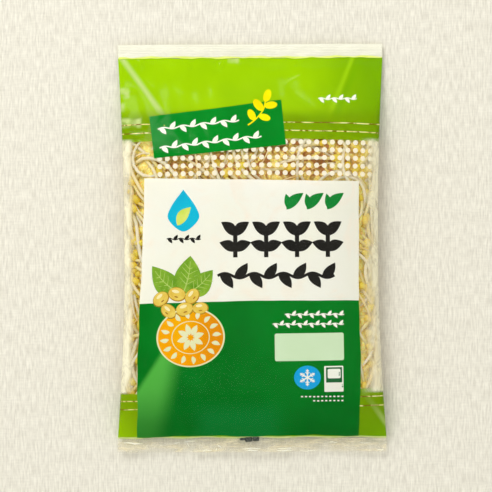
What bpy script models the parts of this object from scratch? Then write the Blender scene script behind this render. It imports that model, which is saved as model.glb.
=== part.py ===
"""A sealed film bag of soybean sprouts, lying on its back.

Metres, +Z up. X runs across the bag and Y from its bottom seal to its top seal. The origin
is under the middle of the bag, on the surface that the bag lies on.

A place on the film is given by s, from -1 at the left side to 1 at the right side, and y.
"""

import math
import random

import bmesh
import bpy
from mathutils import Vector

# Size of the bag
BAG_LENGTH = 0.305
TOP_WIDTH = 0.198
BOTTOM_WIDTH = 0.201
FILLED_WIDTH = 0.1896
GATHER_LENGTH = 0.125
SEAL_LENGTH = 0.010
FILM = 0.0006
GAP = 0.0003

# Height of the bag where it is full: side edge above the surface, and crown above that edge
SIDE_HEIGHT = 0.012
CROWN_HEIGHT = 0.020
SEAL_HEIGHT = 0.0040

# How fast the bag fills out from its two end seals
BOTTOM_RISE = 0.060
TOP_RISE = 0.0925
FLAT_BY_FILL = 0.25

# Squareness of the cross-section, as the exponent of a superellipse
FULL_FRONT_POWER = 2.4
FULL_BACK_POWER = 3.5
FLAT_POWER = 10.0
POWER_BY_FILL = 0.3
BASE_PRESS = 1.15

# Slack film at the two ends waves across the bag
WAVE_HEIGHT = 0.0012
WAVE_LENGTH = 0.105
WAVE_SLANT = 0.03

# Back seam: a folded flap under the back film, in a shallow channel
SEAM_FROM_S = 0.0
SEAM_TO_S = 0.127
CHANNEL_DEPTH = FILM + GAP
CHANNEL_FLOOR_S = (-0.016, 0.143)
CHANNEL_EDGE_S = (-0.042, 0.169)

# Mesh steps
FRONT_COLUMNS = 22
BACK_COLUMNS = 18
FILM_ROWS = 32
SEAL_COLUMNS = 20
SEAL_RIBS = 5
RIB_HEIGHT = 0.0002
SMOOTH_BELOW = math.radians(35)

# One sprout, from its head to the tip of its root
STEM_RADIUS = 0.0015
ROOT_RADIUS = 0.0007
THINS_FROM = 0.55
THINS_OVER = 0.35
STEM_STEP = 0.0140
STEM_STEPS = 7
STEM_SIDES = 4
STEM_BEND = 0.32
STEM_SWAY = 0.12
STEM_TURN = 0.8
HEAD_RADII = (0.0050, 0.0037, 0.0032)
HEAD_SEGMENTS = 6
HEAD_RINGS = 3

# The tangle of sprouts: how they lie under the film, and where they may reach
SEED = 340
SPREAD_RATIO = 1.3247179572
PULL_IN = 0.02
TOP_SPROUTS = 38
UNDER_SPROUTS = 12
NEAR_FILM = 0.0006
SPROUT_DEPTH = 0.0015
ROOT_DIVE = 0.0042
SPROUT_SIDE_S = 0.88
SPROUT_Y = (-0.124, 0.104)
SLOPE_STEP = 0.001

# Packed middle of the tangle, which the sprouts stand out of
CORE_CENTRE_Y = -0.012
CORE_HALF_WIDTH = 0.055
CORE_HALF_LENGTH = 0.078
CORE_BELOW_FRONT = 0.0054
CORE_ABOVE_BACK = 0.0045
CORE_OUTLINE_POWER = 2.8
CORE_EDGE_POWER = 2.2
CORE_END = 0.97
CORE_COLUMNS = 11
CORE_ROWS = 11

# Colour, roughness and opacity of each material
FRONT_PRINT = ((0.30, 0.55, 0.05, 1.0), 0.25, 0.45)
BACK_PRINT = ((0.86, 0.86, 0.76, 1.0), 0.25, 0.45)
CLEAR_SEAL = ((0.88, 0.87, 0.78, 1.0), 0.30, 0.60)
PALE_SPROUT = ((0.86, 0.80, 0.52, 1.0), 0.45, 1.0)

HALF_LENGTH = BAG_LENGTH / 2
INNER_END = HALF_LENGTH - SEAL_LENGTH


def clear_scene():
    for obj in list(bpy.data.objects):
        bpy.data.objects.remove(obj)


def mix(low, high, share):
    return low + (high - low) * share


def smooth(t):
    t = min(max(t, 0.0), 1.0)
    return t * t * (3 - 2 * t)


# Shape of the bag along its length

def fill(y):
    """How full the bag is at y, from 0 at the end seals to 1 in the middle."""
    from_bottom = min(max((y + INNER_END) / BOTTOM_RISE, 0.0), 1.0)
    return (1 - (1 - from_bottom) ** 2) * smooth((INNER_END - y) / TOP_RISE)


def half_width(y):
    """The bag narrows from each end seal to its filled width over GATHER_LENGTH."""
    end_width = TOP_WIDTH if y > 0 else BOTTOM_WIDTH
    inward = min(max((INNER_END - abs(y)) / GATHER_LENGTH, 0.0), 1.0)
    return mix(end_width, FILLED_WIDTH, math.sin(math.pi / 2 * inward)) / 2


def side_height(y):
    return mix(SEAL_HEIGHT, SIDE_HEIGHT, fill(y))


def wave(s, y):
    slack = (1 - fill(y)) ** 2
    return WAVE_HEIGHT * slack * math.sin(math.tau * s * half_width(y) / WAVE_LENGTH + y / WAVE_SLANT)


def arch(s, power):
    """Height of a superellipse of this power, from 1 in the middle to 0 at its sides."""
    return max(1 - abs(s) ** power, 0.0) ** (1 / power)


def section_power(y, full_power):
    return mix(FLAT_POWER, full_power, fill(y) ** POWER_BY_FILL)


# Surfaces of the two film panels

def front_height(s, y, skin):
    """Height of the front film at skin metres inside its outer face."""
    rise = FILM + CROWN_HEIGHT * fill(y) - skin
    edge = side_height(y) + wave(s, y) + GAP / 2
    return edge + rise * arch(s, section_power(y, FULL_FRONT_POWER))


def channel(s):
    """1 over the back seam and 0 beside it."""
    left, right = CHANNEL_FLOOR_S
    outer_left, outer_right = CHANNEL_EDGE_S
    if s < left:
        return max((s - outer_left) / (left - outer_left), 0.0)
    if s > right:
        return max((outer_right - s) / (outer_right - right), 0.0)
    return 1.0


def back_height(s, y, skin, with_channel=True):
    """Height of the back film at skin metres inside its outer face."""
    edge = side_height(y) + wave(s, y) - GAP / 2
    pressed = min(fill(y) / FLAT_BY_FILL, 1.0)
    drop = mix(FILM, edge * BASE_PRESS, pressed) - skin
    height = edge - drop * arch(s, section_power(y, FULL_BACK_POWER))
    raised = CHANNEL_DEPTH * channel(s) * pressed if with_channel else 0.0
    return max(height, skin) + raised


def film_point(height_of, s, y, skin):
    return Vector(((half_width(y) - skin) * s, y, height_of(s, y, skin)))


def inside_s(x, y):
    return x / (half_width(y) - FILM)


# Mesh tools

def even_steps(low, high, steps):
    return [mix(low, high, i / steps) for i in range(steps + 1)]


def side_heavy_columns(count):
    """Values of s from -1 to 1, closer together where the film turns round the sides."""
    return [math.sin(math.pi / 2 * t) for t in even_steps(-1.0, 1.0, count)]


def slab(name, columns, rows, top, bottom):
    """A closed mesh between two surfaces, each split into triangles the same way."""
    wide = len(columns)
    verts = [surface(s, y) for surface in (top, bottom) for y in rows for s in columns]
    below = wide * len(rows)
    faces = []
    for j in range(len(rows) - 1):
        for i in range(wide - 1):
            a = j * wide + i
            b, c, d = a + 1, a + wide + 1, a + wide
            faces += [(a, b, c), (a, c, d)]
            faces += [(c + below, b + below, a + below), (d + below, c + below, a + below)]
    last = below - wide
    rim = list(range(wide))
    rim += [j * wide + wide - 1 for j in range(1, len(rows))]
    rim += [last + i for i in range(wide - 2, -1, -1)]
    rim += [j * wide for j in range(len(rows) - 2, 0, -1)]
    for a, b in zip(rim, rim[1:] + rim[:1]):
        faces += [(b, a, a + below), (b, a + below, b + below)]
    mesh = bpy.data.meshes.new(name)
    mesh.from_pydata(verts, [], faces)
    return mesh


def add_object(name, mesh, material):
    obj = bpy.data.objects.new(name, mesh)
    bpy.context.scene.collection.objects.link(obj)
    mesh.materials.append(material)
    mesh.shade_smooth()
    mesh.set_sharp_from_angle(angle=SMOOTH_BELOW)
    return obj


def make_material(name, look):
    colour, roughness, opacity = look
    material = bpy.data.materials.new(name)
    material.use_nodes = True
    shader = material.node_tree.nodes["Principled BSDF"]
    shader.inputs["Base Color"].default_value = colour
    shader.inputs["Roughness"].default_value = roughness
    shader.inputs["Metallic"].default_value = 0.0
    shader.inputs["Alpha"].default_value = opacity
    return material


# Film panels, seam and end seals

def add_front_film():
    columns = side_heavy_columns(FRONT_COLUMNS)
    rows = even_steps(-INNER_END + GAP, INNER_END - GAP, FILM_ROWS)
    mesh = slab(
        "film_front",
        columns,
        rows,
        lambda s, y: film_point(front_height, s, y, 0.0),
        lambda s, y: film_point(front_height, s, y, FILM),
    )
    add_object("film_front", mesh, make_material("printed film", FRONT_PRINT))


def add_back_film():
    columns = [s for s in side_heavy_columns(BACK_COLUMNS) if channel(s) == 0.0]
    columns = sorted(columns + list(CHANNEL_FLOOR_S) + list(CHANNEL_EDGE_S))
    rows = even_steps(-INNER_END + GAP, INNER_END - GAP, FILM_ROWS)
    mesh = slab(
        "film_back",
        columns,
        rows,
        lambda s, y: film_point(back_height, s, y, FILM),
        lambda s, y: film_point(back_height, s, y, 0.0),
    )
    add_object("film_back", mesh, make_material("back film", BACK_PRINT))


def add_back_seam():
    """The welded flap, which lies flat in the channel of the back film."""
    def under_film(depth):
        def surface(s, y):
            ceiling = min(back_height(t, y, 0.0) for t in (SEAM_FROM_S, s, SEAM_TO_S))
            return Vector((half_width(y) * s, y, ceiling - GAP - depth))

        return surface

    columns = even_steps(SEAM_FROM_S, SEAM_TO_S, 2)
    rows = even_steps(-INNER_END + GAP, INNER_END - GAP, FILM_ROWS)
    mesh = slab("back_seam", columns, rows, under_film(0.0), under_film(FILM))
    add_object("back_seam", mesh, make_material("seam film", CLEAR_SEAL))


def add_end_seal(name, inner_y, outer_y):
    """The crimped band where both films are welded, with ribs that run across the bag."""
    def face(offset):
        def surface(s, y):
            place = (y - inner_y) / (outer_y - inner_y) * SEAL_RIBS * 2
            rib = RIB_HEIGHT * (1 if round(place) % 2 else -1)
            height = side_height(inner_y) + wave(s, inner_y) + offset + rib
            return Vector((half_width(inner_y) * s, y, height))

        return surface

    columns = even_steps(-1.0, 1.0, SEAL_COLUMNS)
    rows = sorted(even_steps(inner_y, outer_y, SEAL_RIBS * 2))
    mesh = slab(name, columns, rows, face(FILM), face(-FILM))
    add_object(name, mesh, make_material(name.replace("_", " "), CLEAR_SEAL))


# Sprouts

def slope_factor(height_of, x, y):
    """How much longer a vertical gap is than the gap square to the film."""
    step = SLOPE_STEP
    dx = height_of(inside_s(x + step, y), y, FILM) - height_of(inside_s(x - step, y), y, FILM)
    dy = height_of(inside_s(x, y + step), y + step, FILM)
    dy -= height_of(inside_s(x, y - step), y - step, FILM)
    return math.sqrt(1 + (dx * dx + dy * dy) / (4 * step * step))


def under_front(x, y, distance):
    """The point this far below the inner face of the front film."""
    height = front_height(inside_s(x, y), y, FILM)
    return Vector((x, y, height - distance * slope_factor(front_height, x, y)))


def over_back(x, y, distance):
    """The point this far above the inner face of the back film."""
    height = back_height(inside_s(x, y), y, FILM, with_channel=False) + CHANNEL_DEPTH
    return Vector((x, y, height + distance * slope_factor(back_height, x, y)))


def spread_middle(number):
    """Where the middle of this sprout would lie, spread evenly over the bag."""
    across = (0.5 + number / SPREAD_RATIO) % 1.0
    along = (0.5 + number / SPREAD_RATIO**2) % 1.0
    x = mix(-1.0, 1.0, across) * SPROUT_SIDE_S * FILLED_WIDTH / 2
    return Vector((x, mix(*SPROUT_Y, along)))


def stem_route(draw, middle):
    """Points (x, y) along one sprout from its head to its root tip, or None if it leaves the bag."""
    heading = draw.uniform(0.0, math.tau)
    bend = draw.uniform(-1.0, 1.0) * STEM_BEND
    sway = draw.uniform(-1.0, 1.0) * STEM_SWAY
    route = [Vector((0.0, 0.0))]
    for step in range(STEM_STEPS):
        route.append(route[-1] + STEM_STEP * Vector((math.cos(heading), math.sin(heading))))
        heading += bend * math.cos(step * STEM_TURN) + sway
    shift = middle - route[STEM_STEPS // 2]
    route = [point + shift for point in route]
    for x, y in route:
        if abs(inside_s(x, y)) > SPROUT_SIDE_S or not SPROUT_Y[0] <= y <= SPROUT_Y[1]:
            return None
    return route


def stem_radius(share):
    """The stem keeps its thickness over its first half, then thins into the root."""
    return mix(STEM_RADIUS, ROOT_RADIUS, smooth((share - THINS_FROM) / THINS_OVER))


def frame_across(along):
    """Two directions square to along and to each other, the first one level."""
    across = along.cross(Vector((0, 0, 1))).normalized()
    return across, along.cross(across)


def tube(name, points, radii):
    """A closed tube along points, with a pointed cap at each end."""
    sides = STEM_SIDES
    verts, faces = [], []
    for i, point in enumerate(points):
        before, after = points[max(i - 1, 0)], points[min(i + 1, len(points) - 1)]
        across, up = frame_across((after - before).normalized())
        for k in range(sides):
            turn = math.tau * k / sides
            verts.append(point + radii[i] * (math.cos(turn) * across + math.sin(turn) * up))
    for i in range(len(points) - 1):
        for k in range(sides):
            a, b = i * sides + k, i * sides + (k + 1) % sides
            faces += [(a, b, b + sides), (a, b + sides, a + sides)]
    tips = [(0, points[0], points[1]), (len(points) - 1, points[-1], points[-2])]
    for ring, end, neighbour in tips:
        tip = len(verts)
        verts.append(end + (end - neighbour).normalized() * radii[ring])
        for k in range(sides):
            a, b = ring * sides + k, ring * sides + (k + 1) % sides
            faces.append((tip, b, a) if ring == 0 else (tip, a, b))
    mesh = bpy.data.meshes.new(name)
    mesh.from_pydata(verts, [], faces)
    return mesh


def bean_head(name, centre, along):
    """A low ellipsoid whose longest axis points along a direction."""
    across, up = frame_across(along)
    long_radius, wide_radius, low_radius = HEAD_RADII
    verts, faces = [centre - along * long_radius], []
    for ring in range(1, HEAD_RINGS):
        tilt = math.pi * ring / HEAD_RINGS
        for k in range(HEAD_SEGMENTS):
            turn = math.tau * (k + 0.5) / HEAD_SEGMENTS
            offset = math.cos(turn) * wide_radius * across + math.sin(turn) * low_radius * up
            verts.append(centre - math.cos(tilt) * long_radius * along + math.sin(tilt) * offset)
    verts.append(centre + along * long_radius)
    top = len(verts) - 1
    for k in range(HEAD_SEGMENTS):
        n = (k + 1) % HEAD_SEGMENTS
        faces.append((0, 1 + n, 1 + k))
        for ring in range(HEAD_RINGS - 2):
            a = 1 + ring * HEAD_SEGMENTS
            b = a + HEAD_SEGMENTS
            faces += [(a + k, a + n, b + n), (a + k, b + n, b + k)]
        last = 1 + (HEAD_RINGS - 2) * HEAD_SEGMENTS
        faces.append((top, last + k, last + n))
    mesh = bpy.data.meshes.new(name)
    mesh.from_pydata(verts, [], faces)
    return mesh


def add_sprout(number, draw, place, tangle):
    """One sprout, laid under the front film or over the back film, with its root end deeper.

    Each route that leaves the bag moves the sprout's middle a little towards the bag's middle.
    """
    bag_middle = Vector((0.0, CORE_CENTRE_Y))
    middle = spread_middle(number)
    route = None
    while route is None:
        route = stem_route(draw, middle)
        middle = middle.lerp(bag_middle, PULL_IN)
    depth = draw.uniform(0.0, SPROUT_DEPTH)
    radii = [stem_radius(i / STEM_STEPS) for i in range(STEM_STEPS + 1)]
    points = []
    for i, (x, y) in enumerate(route):
        dive = ROOT_DIVE * smooth(i / STEM_STEPS)
        points.append(place(x, y, NEAR_FILM + depth + dive + radii[i]))
    along = (points[0] - points[1]).normalized()
    centre = place(*route[0], NEAR_FILM + HEAD_RADII[1])
    stem = bpy.data.objects.new(f"stem_{number}", tube(f"stem_{number}", points, radii))
    head = bpy.data.objects.new(f"head_{number}", bean_head(f"head_{number}", centre, along))
    tangle.objects.link(stem)
    tangle.objects.link(head)


def core_face(side):
    """The upper (1) or lower (-1) face of the packed middle."""
    def surface(s, y):
        t = (y - CORE_CENTRE_Y) / CORE_HALF_LENGTH
        x = CORE_HALF_WIDTH * arch(t, CORE_OUTLINE_POWER) * s
        swell = arch(s, CORE_EDGE_POWER) * arch(t, CORE_EDGE_POWER)
        upper = under_front(x, y, CORE_BELOW_FRONT).z
        lower = over_back(x, y, CORE_ABOVE_BACK).z
        return Vector((x, y, mix(lower, upper, (1 + side * swell) / 2)))

    return surface


def core_mesh():
    reach = CORE_HALF_LENGTH * CORE_END
    columns = side_heavy_columns(CORE_COLUMNS)[1:-1]
    rows = even_steps(CORE_CENTRE_Y - reach, CORE_CENTRE_Y + reach, CORE_ROWS)
    return slab("sprouts", columns, rows, core_face(1), core_face(-1))


def keep_largest_body(mesh):
    """Drops loose scraps, and fills each hollow that the union sealed, by deleting its walls."""
    work = bmesh.new()
    work.from_mesh(mesh)
    unseen = set(work.verts)
    bodies = []
    while unseen:
        body, edge_of_body = set(), [unseen.pop()]
        while edge_of_body:
            vert = edge_of_body.pop()
            body.add(vert)
            near = {edge.other_vert(vert) for edge in vert.link_edges} & unseen
            unseen -= near
            edge_of_body += near
        bodies.append(body)
    largest = max(bodies, key=len)
    scraps = [vert for vert in work.verts if vert not in largest]
    bmesh.ops.delete(work, geom=scraps, context="VERTS")
    work.to_mesh(mesh)
    work.free()


def add_sprouts():
    """Every sprout, fused with the packed middle into one body."""
    draw = random.Random(SEED)
    sprouts = add_object("sprouts", core_mesh(), make_material("sprout", PALE_SPROUT))
    tangle = bpy.data.collections.new("tangle")
    bpy.context.scene.collection.children.link(tangle)
    for number in range(TOP_SPROUTS + UNDER_SPROUTS):
        place = under_front if number < TOP_SPROUTS else over_back
        add_sprout(number, draw, place, tangle)
    join = sprouts.modifiers.new("Join", "BOOLEAN")
    join.operation = "UNION"
    join.operand_type = "COLLECTION"
    join.collection = tangle
    join.solver = "MANIFOLD"
    graph = bpy.context.evaluated_depsgraph_get()
    joined = bpy.data.meshes.new_from_object(sprouts.evaluated_get(graph))
    sprouts.modifiers.clear()
    keep_largest_body(joined)
    sprouts.data = joined
    for obj in list(tangle.objects):
        bpy.data.objects.remove(obj)
    bpy.data.collections.remove(tangle)


def main():
    clear_scene()
    add_front_film()
    add_back_film()
    add_back_seam()
    add_end_seal("seal_top", INNER_END, HALF_LENGTH)
    add_end_seal("seal_bottom", -INNER_END, -HALF_LENGTH)
    add_sprouts()


main()
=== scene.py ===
"""Looks of a sealed film bag of soybean sprouts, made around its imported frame.

Metres, +Z up. X runs across the bag and Y from its bottom seal to its top seal. A place on the
film is given by s, from -1 at the left side to 1 at the right side, and y.
"""

import math

import bmesh
import bpy
import numpy as np
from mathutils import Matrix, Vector


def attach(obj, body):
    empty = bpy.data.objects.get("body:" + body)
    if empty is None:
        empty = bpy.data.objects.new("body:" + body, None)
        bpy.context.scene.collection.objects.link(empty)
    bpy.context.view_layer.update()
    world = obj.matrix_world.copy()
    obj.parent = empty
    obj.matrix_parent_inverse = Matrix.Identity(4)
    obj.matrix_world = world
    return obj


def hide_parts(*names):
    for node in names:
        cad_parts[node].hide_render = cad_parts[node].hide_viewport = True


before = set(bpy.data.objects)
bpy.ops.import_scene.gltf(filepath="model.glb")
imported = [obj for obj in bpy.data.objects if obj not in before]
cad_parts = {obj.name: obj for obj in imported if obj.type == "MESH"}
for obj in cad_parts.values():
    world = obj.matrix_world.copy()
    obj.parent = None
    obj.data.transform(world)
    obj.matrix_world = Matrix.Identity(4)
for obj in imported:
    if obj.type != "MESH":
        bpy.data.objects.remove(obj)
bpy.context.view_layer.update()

# Size and shape of the bag, as in its solids
BAG_LENGTH = 0.305
TOP_WIDTH = 0.198
BOTTOM_WIDTH = 0.201
FILLED_WIDTH = 0.1896
GATHER_LENGTH = 0.125
SEAL_LENGTH = 0.010
SIDE_HEIGHT = 0.012
CROWN_HEIGHT = 0.020
SEAL_HEIGHT = 0.0040
BOTTOM_RISE = 0.060
TOP_RISE = 0.0925
FLAT_BY_FILL = 0.25
FULL_FRONT_POWER = 2.4
FULL_BACK_POWER = 3.5
FLAT_POWER = 10.0
POWER_BY_FILL = 0.3
BASE_PRESS = 1.15
WAVE_HEIGHT = 0.0012
WAVE_LENGTH = 0.105
WAVE_SLANT = 0.03
HALF_LENGTH = BAG_LENGTH / 2
INNER_END = HALF_LENGTH - SEAL_LENGTH

# Film
FILM = 0.00012
WELD_OPENS_OVER = 0.0018
LEAST_ROOM = 0.00030
CHANNEL_DEPTH = 0.0004
CHANNEL_FLOOR_S = (-0.016, 0.143)
CHANNEL_EDGE_S = (-0.042, 0.169)
SEAM_S = (0.0, 0.127)
SEAM_THICKNESS = 0.00018
FRONT_COLUMNS = 248
FRONT_ROWS = 380
BACK_COLUMNS = 150
BACK_ROWS = 220
SEAL_COLUMNS = 221
SEAL_ROWS = 73
RIB_PITCH = 0.0012
RIB_HEIGHT = 0.00008
LOOSE_CENTRE_Y = -0.02
LOOSE_FROM = 0.085
LOOSE_OVER = 0.04

# Seeds of the random draws
SPROUT_SEED = 340
FRONT_SEED = 11
BACK_SEED = 12
SLACK_SEED = 21
SEAL_SEED = 5
CORE_SEED = 8

# Sprouts
SPROUTS = 600
SPROUT_NODES = 12
SPROUT_LENGTH = (0.086, 0.124)
SPROUT_X = (-0.082, 0.086)
SPROUT_Y = (-0.127, 0.106)
SPREAD_RATIO = 1.2207440846  # its powers spread points evenly in three directions
START_TRIES = 48
OUTER_X = 0.045
STRIP_DEPTH = 0.009
STRIP_PULL = 0.25
PACK_ROUNDS = 100
STIFFNESS = 0.10
PUSH = 1.4
STEM_RADIUS = (0.00110, 0.00145)
ROOT_RADIUS = 0.00042
HEAD_LENGTH = (0.0072, 0.0094)
HEAD_REACH = 0.0026
LEFT_MARGIN = 0.0036
RIGHT_MARGIN = 0.0022
FILM_MARGIN = 0.0007
CORE_INSET = 0.0022


def mix(low, high, share):
    return low + (high - low) * share


def smooth(t):
    t = np.clip(t, 0.0, 1.0)
    return t * t * (3 - 2 * t)


# Shape of the bag along its length, as in its solids

def fill(y):
    """How full the bag is at y, from 0 at the end seals to 1 in the middle."""
    from_bottom = np.clip((y + INNER_END) / BOTTOM_RISE, 0.0, 1.0)
    return (1 - (1 - from_bottom) ** 2) * smooth((INNER_END - y) / TOP_RISE)


def half_width(y):
    """The bag narrows from each end seal to its filled width over GATHER_LENGTH."""
    end_width = np.where(np.asarray(y) > 0, TOP_WIDTH, BOTTOM_WIDTH)
    inward = np.clip((INNER_END - np.abs(y)) / GATHER_LENGTH, 0.0, 1.0)
    return mix(end_width, FILLED_WIDTH, np.sin(math.pi / 2 * inward)) / 2


def edge_height(s, y):
    """Height of the line where the front film and the back film meet, and of the slack between."""
    slack = (1 - fill(y)) ** 2
    wave = WAVE_HEIGHT * slack * np.sin(math.tau * s * half_width(y) / WAVE_LENGTH + y / WAVE_SLANT)
    return mix(SEAL_HEIGHT, SIDE_HEIGHT, fill(y)) + wave


def arch(s, power):
    """Height of a superellipse of this power, from 1 in the middle to 0 at its sides."""
    return np.maximum(1 - np.abs(s) ** power, 0.0) ** (1 / power)


def section_power(y, full_power):
    """Power of the bag's section, which is boxy at its flat ends and rounder where it is full."""
    return mix(FLAT_POWER, full_power, fill(y) ** POWER_BY_FILL)


def weld_gap(y):
    """Half the distance that the two films keep in their slack ends, closing at the welds."""
    return mix(FILM / 2, LEAST_ROOM, smooth((INNER_END - np.abs(y)) / WELD_OPENS_OVER))


def front_height(s, y):
    rise = weld_gap(y) + CROWN_HEIGHT * fill(y)
    return edge_height(s, y) + rise * arch(s, section_power(y, FULL_FRONT_POWER))


def channel(s):
    """1 over the back seam and 0 beside it."""
    left = smooth((s - CHANNEL_EDGE_S[0]) / (CHANNEL_FLOOR_S[0] - CHANNEL_EDGE_S[0]))
    right = smooth((CHANNEL_EDGE_S[1] - s) / (CHANNEL_EDGE_S[1] - CHANNEL_FLOOR_S[1]))
    return left * right


def pressed(y):
    """How far the back film is pressed flat on the surface, from 0 at the ends to 1."""
    return np.minimum(fill(y) / FLAT_BY_FILL, 1.0)


def back_height(s, y):
    edge = edge_height(s, y)
    drop = mix(weld_gap(y), edge * BASE_PRESS, pressed(y))
    height = edge - drop * arch(s, section_power(y, FULL_BACK_POWER))
    return np.maximum(height, 0.0) + CHANNEL_DEPTH * channel(s) * pressed(y)


# Folds and waves of the film. A fold is a ridge from one (x, y) to another, with its half
# width and its height square to the film; a height below 0 is a valley.

FRONT_FOLDS = [
    ((-0.0975, 0.1470), (-0.0660, 0.0980), 0.0026, 0.00110),
    ((-0.0990, 0.1165), (-0.0840, 0.1175), 0.0022, 0.00060),
    ((-0.0980, 0.1050), (-0.0900, 0.1020), 0.0016, 0.00045),
    ((-0.0990, 0.0930), (-0.0760, 0.0920), 0.0028, 0.00075),
    ((-0.0990, 0.0850), (-0.0790, 0.0840), 0.0016, 0.00040),
    ((-0.0520, 0.1430), (-0.0450, 0.1340), 0.0020, 0.00070),
    ((-0.0200, 0.1430), (-0.0230, 0.1330), 0.0018, 0.00070),
    ((-0.0850, 0.1430), (-0.0800, 0.1350), 0.0016, 0.00060),
    ((-0.0100, 0.1425), (-0.0090, 0.1370), 0.0010, 0.00045),
    ((0.0350, 0.1425), (0.0330, 0.1360), 0.0014, 0.00050),
    ((-0.0570, -0.0930), (-0.0560, -0.1440), 0.0030, 0.00055),
    ((-0.0860, -0.1000), (-0.0680, -0.0700), 0.0050, -0.00050),
    ((-0.0080, -0.1130), (-0.0090, -0.1430), 0.0035, 0.00030),
    ((0.0720, -0.1120), (0.0620, -0.1360), 0.0024, 0.00030),
    ((0.0860, -0.1060), (0.0780, -0.1300), 0.0020, 0.00030),
    ((0.0480, -0.1240), (0.0500, -0.1430), 0.0030, 0.00025),
    ((0.0590, -0.0720), (0.0700, -0.1140), 0.0016, 0.00030),
    ((0.0760, -0.0800), (0.0730, -0.1180), 0.0014, 0.00025),
    ((0.0380, -0.0980), (0.0620, -0.1330), 0.0020, 0.00030),
    ((0.0920, 0.0600), (0.0850, 0.0900), 0.0030, 0.00035),
]


def ridge(x, y, fold):
    """Height of a fold at (x, y)."""
    (x0, y0), (x1, y1), width, height = fold
    dx, dy = x1 - x0, y1 - y0
    length = math.hypot(dx, dy)
    along = np.clip(((x - x0) * dx + (y - y0) * dy) / length**2, 0.0, 1.0)
    across = ((x - x0) * dy - (y - y0) * dx) / length
    return height * np.sqrt(np.sin(math.pi * along)) * np.exp(-((across / width) ** 2))


def ripples(x, y, draw, count, shortest, longest):
    """Soft uneven waves about 1 high: a sum of sines in seeded directions."""
    total = np.zeros_like(x)
    for _ in range(count):
        length, turn, phase = draw.uniform((shortest, 0, 0), (longest, math.tau, math.tau))
        total += np.sin(math.tau * (x * math.cos(turn) + y * math.sin(turn)) / length + phase)
    return total * math.sqrt(2 / count)


def short_folds(draw, count, near_sides):
    """Seeded short creases: across the bag's sides, or spread over its ends."""
    folds = []
    for _ in range(count):
        side = draw.choice((-1, 1))
        if near_sides:
            x, y = side * draw.uniform(0.080, 0.095), draw.uniform(-0.120, 0.110)
            turn = draw.normal(0.0, 0.5)
            length = draw.uniform(0.005, 0.014)
        else:
            x = draw.uniform(-0.092, 0.092)
            y = side * INNER_END * draw.uniform(0.88, 0.99)
            turn = math.pi / 2 + draw.normal(0.0, 0.4)
            length = draw.uniform(0.008, 0.020)
        dx, dy = math.cos(turn) * length / 2, math.sin(turn) * length / 2
        height = draw.uniform(0.00008, 0.00022)
        folds.append(((x - dx, y - dy), (x + dx, y + dy), draw.uniform(0.0007, 0.0016), height))
    return folds


def looseness(y):
    """How slack the films are at y, from 0 over the filling to about 1 at the bag's ends."""
    return smooth((np.abs(y - LOOSE_CENTRE_Y) - LOOSE_FROM) / LOOSE_OVER)


def slack_waves(x, y):
    """Broad waves of the loose ends, which both films follow."""
    draw = np.random.default_rng(SLACK_SEED)
    top = smooth((y - 0.080) / 0.025)
    slant = x + 0.42 * (y - 0.11)
    waves = 0.00018 * top * np.sin(math.tau * slant / 0.021) * smooth((x - 0.010) / 0.05)
    waves += 0.00022 * looseness(y) * ripples(x, y, draw, 12, 0.022, 0.050)
    return waves * smooth((INNER_END - np.abs(y)) / 0.010)


def free_share(y, s):
    """1 where a film can leave its smooth shape, and 0 at its sides and welds."""
    return smooth((INNER_END - np.abs(y)) / 0.004) * smooth((1 - np.abs(s)) / 0.045)


def front_relief(x, y, s):
    """How far the front film stands above its smooth shape."""
    draw = np.random.default_rng(FRONT_SEED)
    height = mix(0.00004, 0.00009, looseness(y))
    total = slack_waves(x, y) + height * ripples(x, y, draw, 14, 0.009, 0.024)
    for fold in FRONT_FOLDS + short_folds(draw, 46, True) + short_folds(draw, 30, False):
        total += ridge(x, y, fold)
    return total * free_share(y, s)


def back_relief(x, y, s):
    """How far the back film stands above its smooth shape, less where it is pressed flat."""
    draw = np.random.default_rng(BACK_SEED)
    bulge = 0.00006 + 0.00006 * ripples(x, y, draw, 12, 0.010, 0.026)
    rounded = smooth((np.abs(s) - 0.72) / 0.1)
    for fold in short_folds(draw, 40, True):
        bulge += rounded * ridge(x, y, fold)
    own = -bulge * mix(1.0, rounded, pressed(y))
    return (own + slack_waves(x, y) * (1 - pressed(y))) * free_share(y, s)


# Mesh tools

def grid_faces(wide, high, start=0, flip=False):
    """Quads over a grid of points that is stored row by row."""
    i, j = np.meshgrid(np.arange(wide - 1), np.arange(high - 1))
    a = (start + j * wide + i).ravel()
    faces = np.stack([a, a + 1, a + wide + 1, a + wide], 1)
    return faces[:, ::-1] if flip else faces


def add_piece(name, verts, faces, material, replaces=()):
    """A visible piece of the bag, riding on its one body."""
    mesh = bpy.data.meshes.new(name)
    points = np.asarray(verts, float).reshape(-1, 3).tolist()
    mesh.from_pydata(points, [], [list(map(int, face)) for face in faces])
    mesh.materials.append(material)
    mesh.shade_smooth()
    piece = bpy.data.objects.new(name, mesh)
    bpy.context.scene.collection.objects.link(piece)
    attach(piece, "root")
    if replaces:
        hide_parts(*replaces)
    return piece


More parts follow.
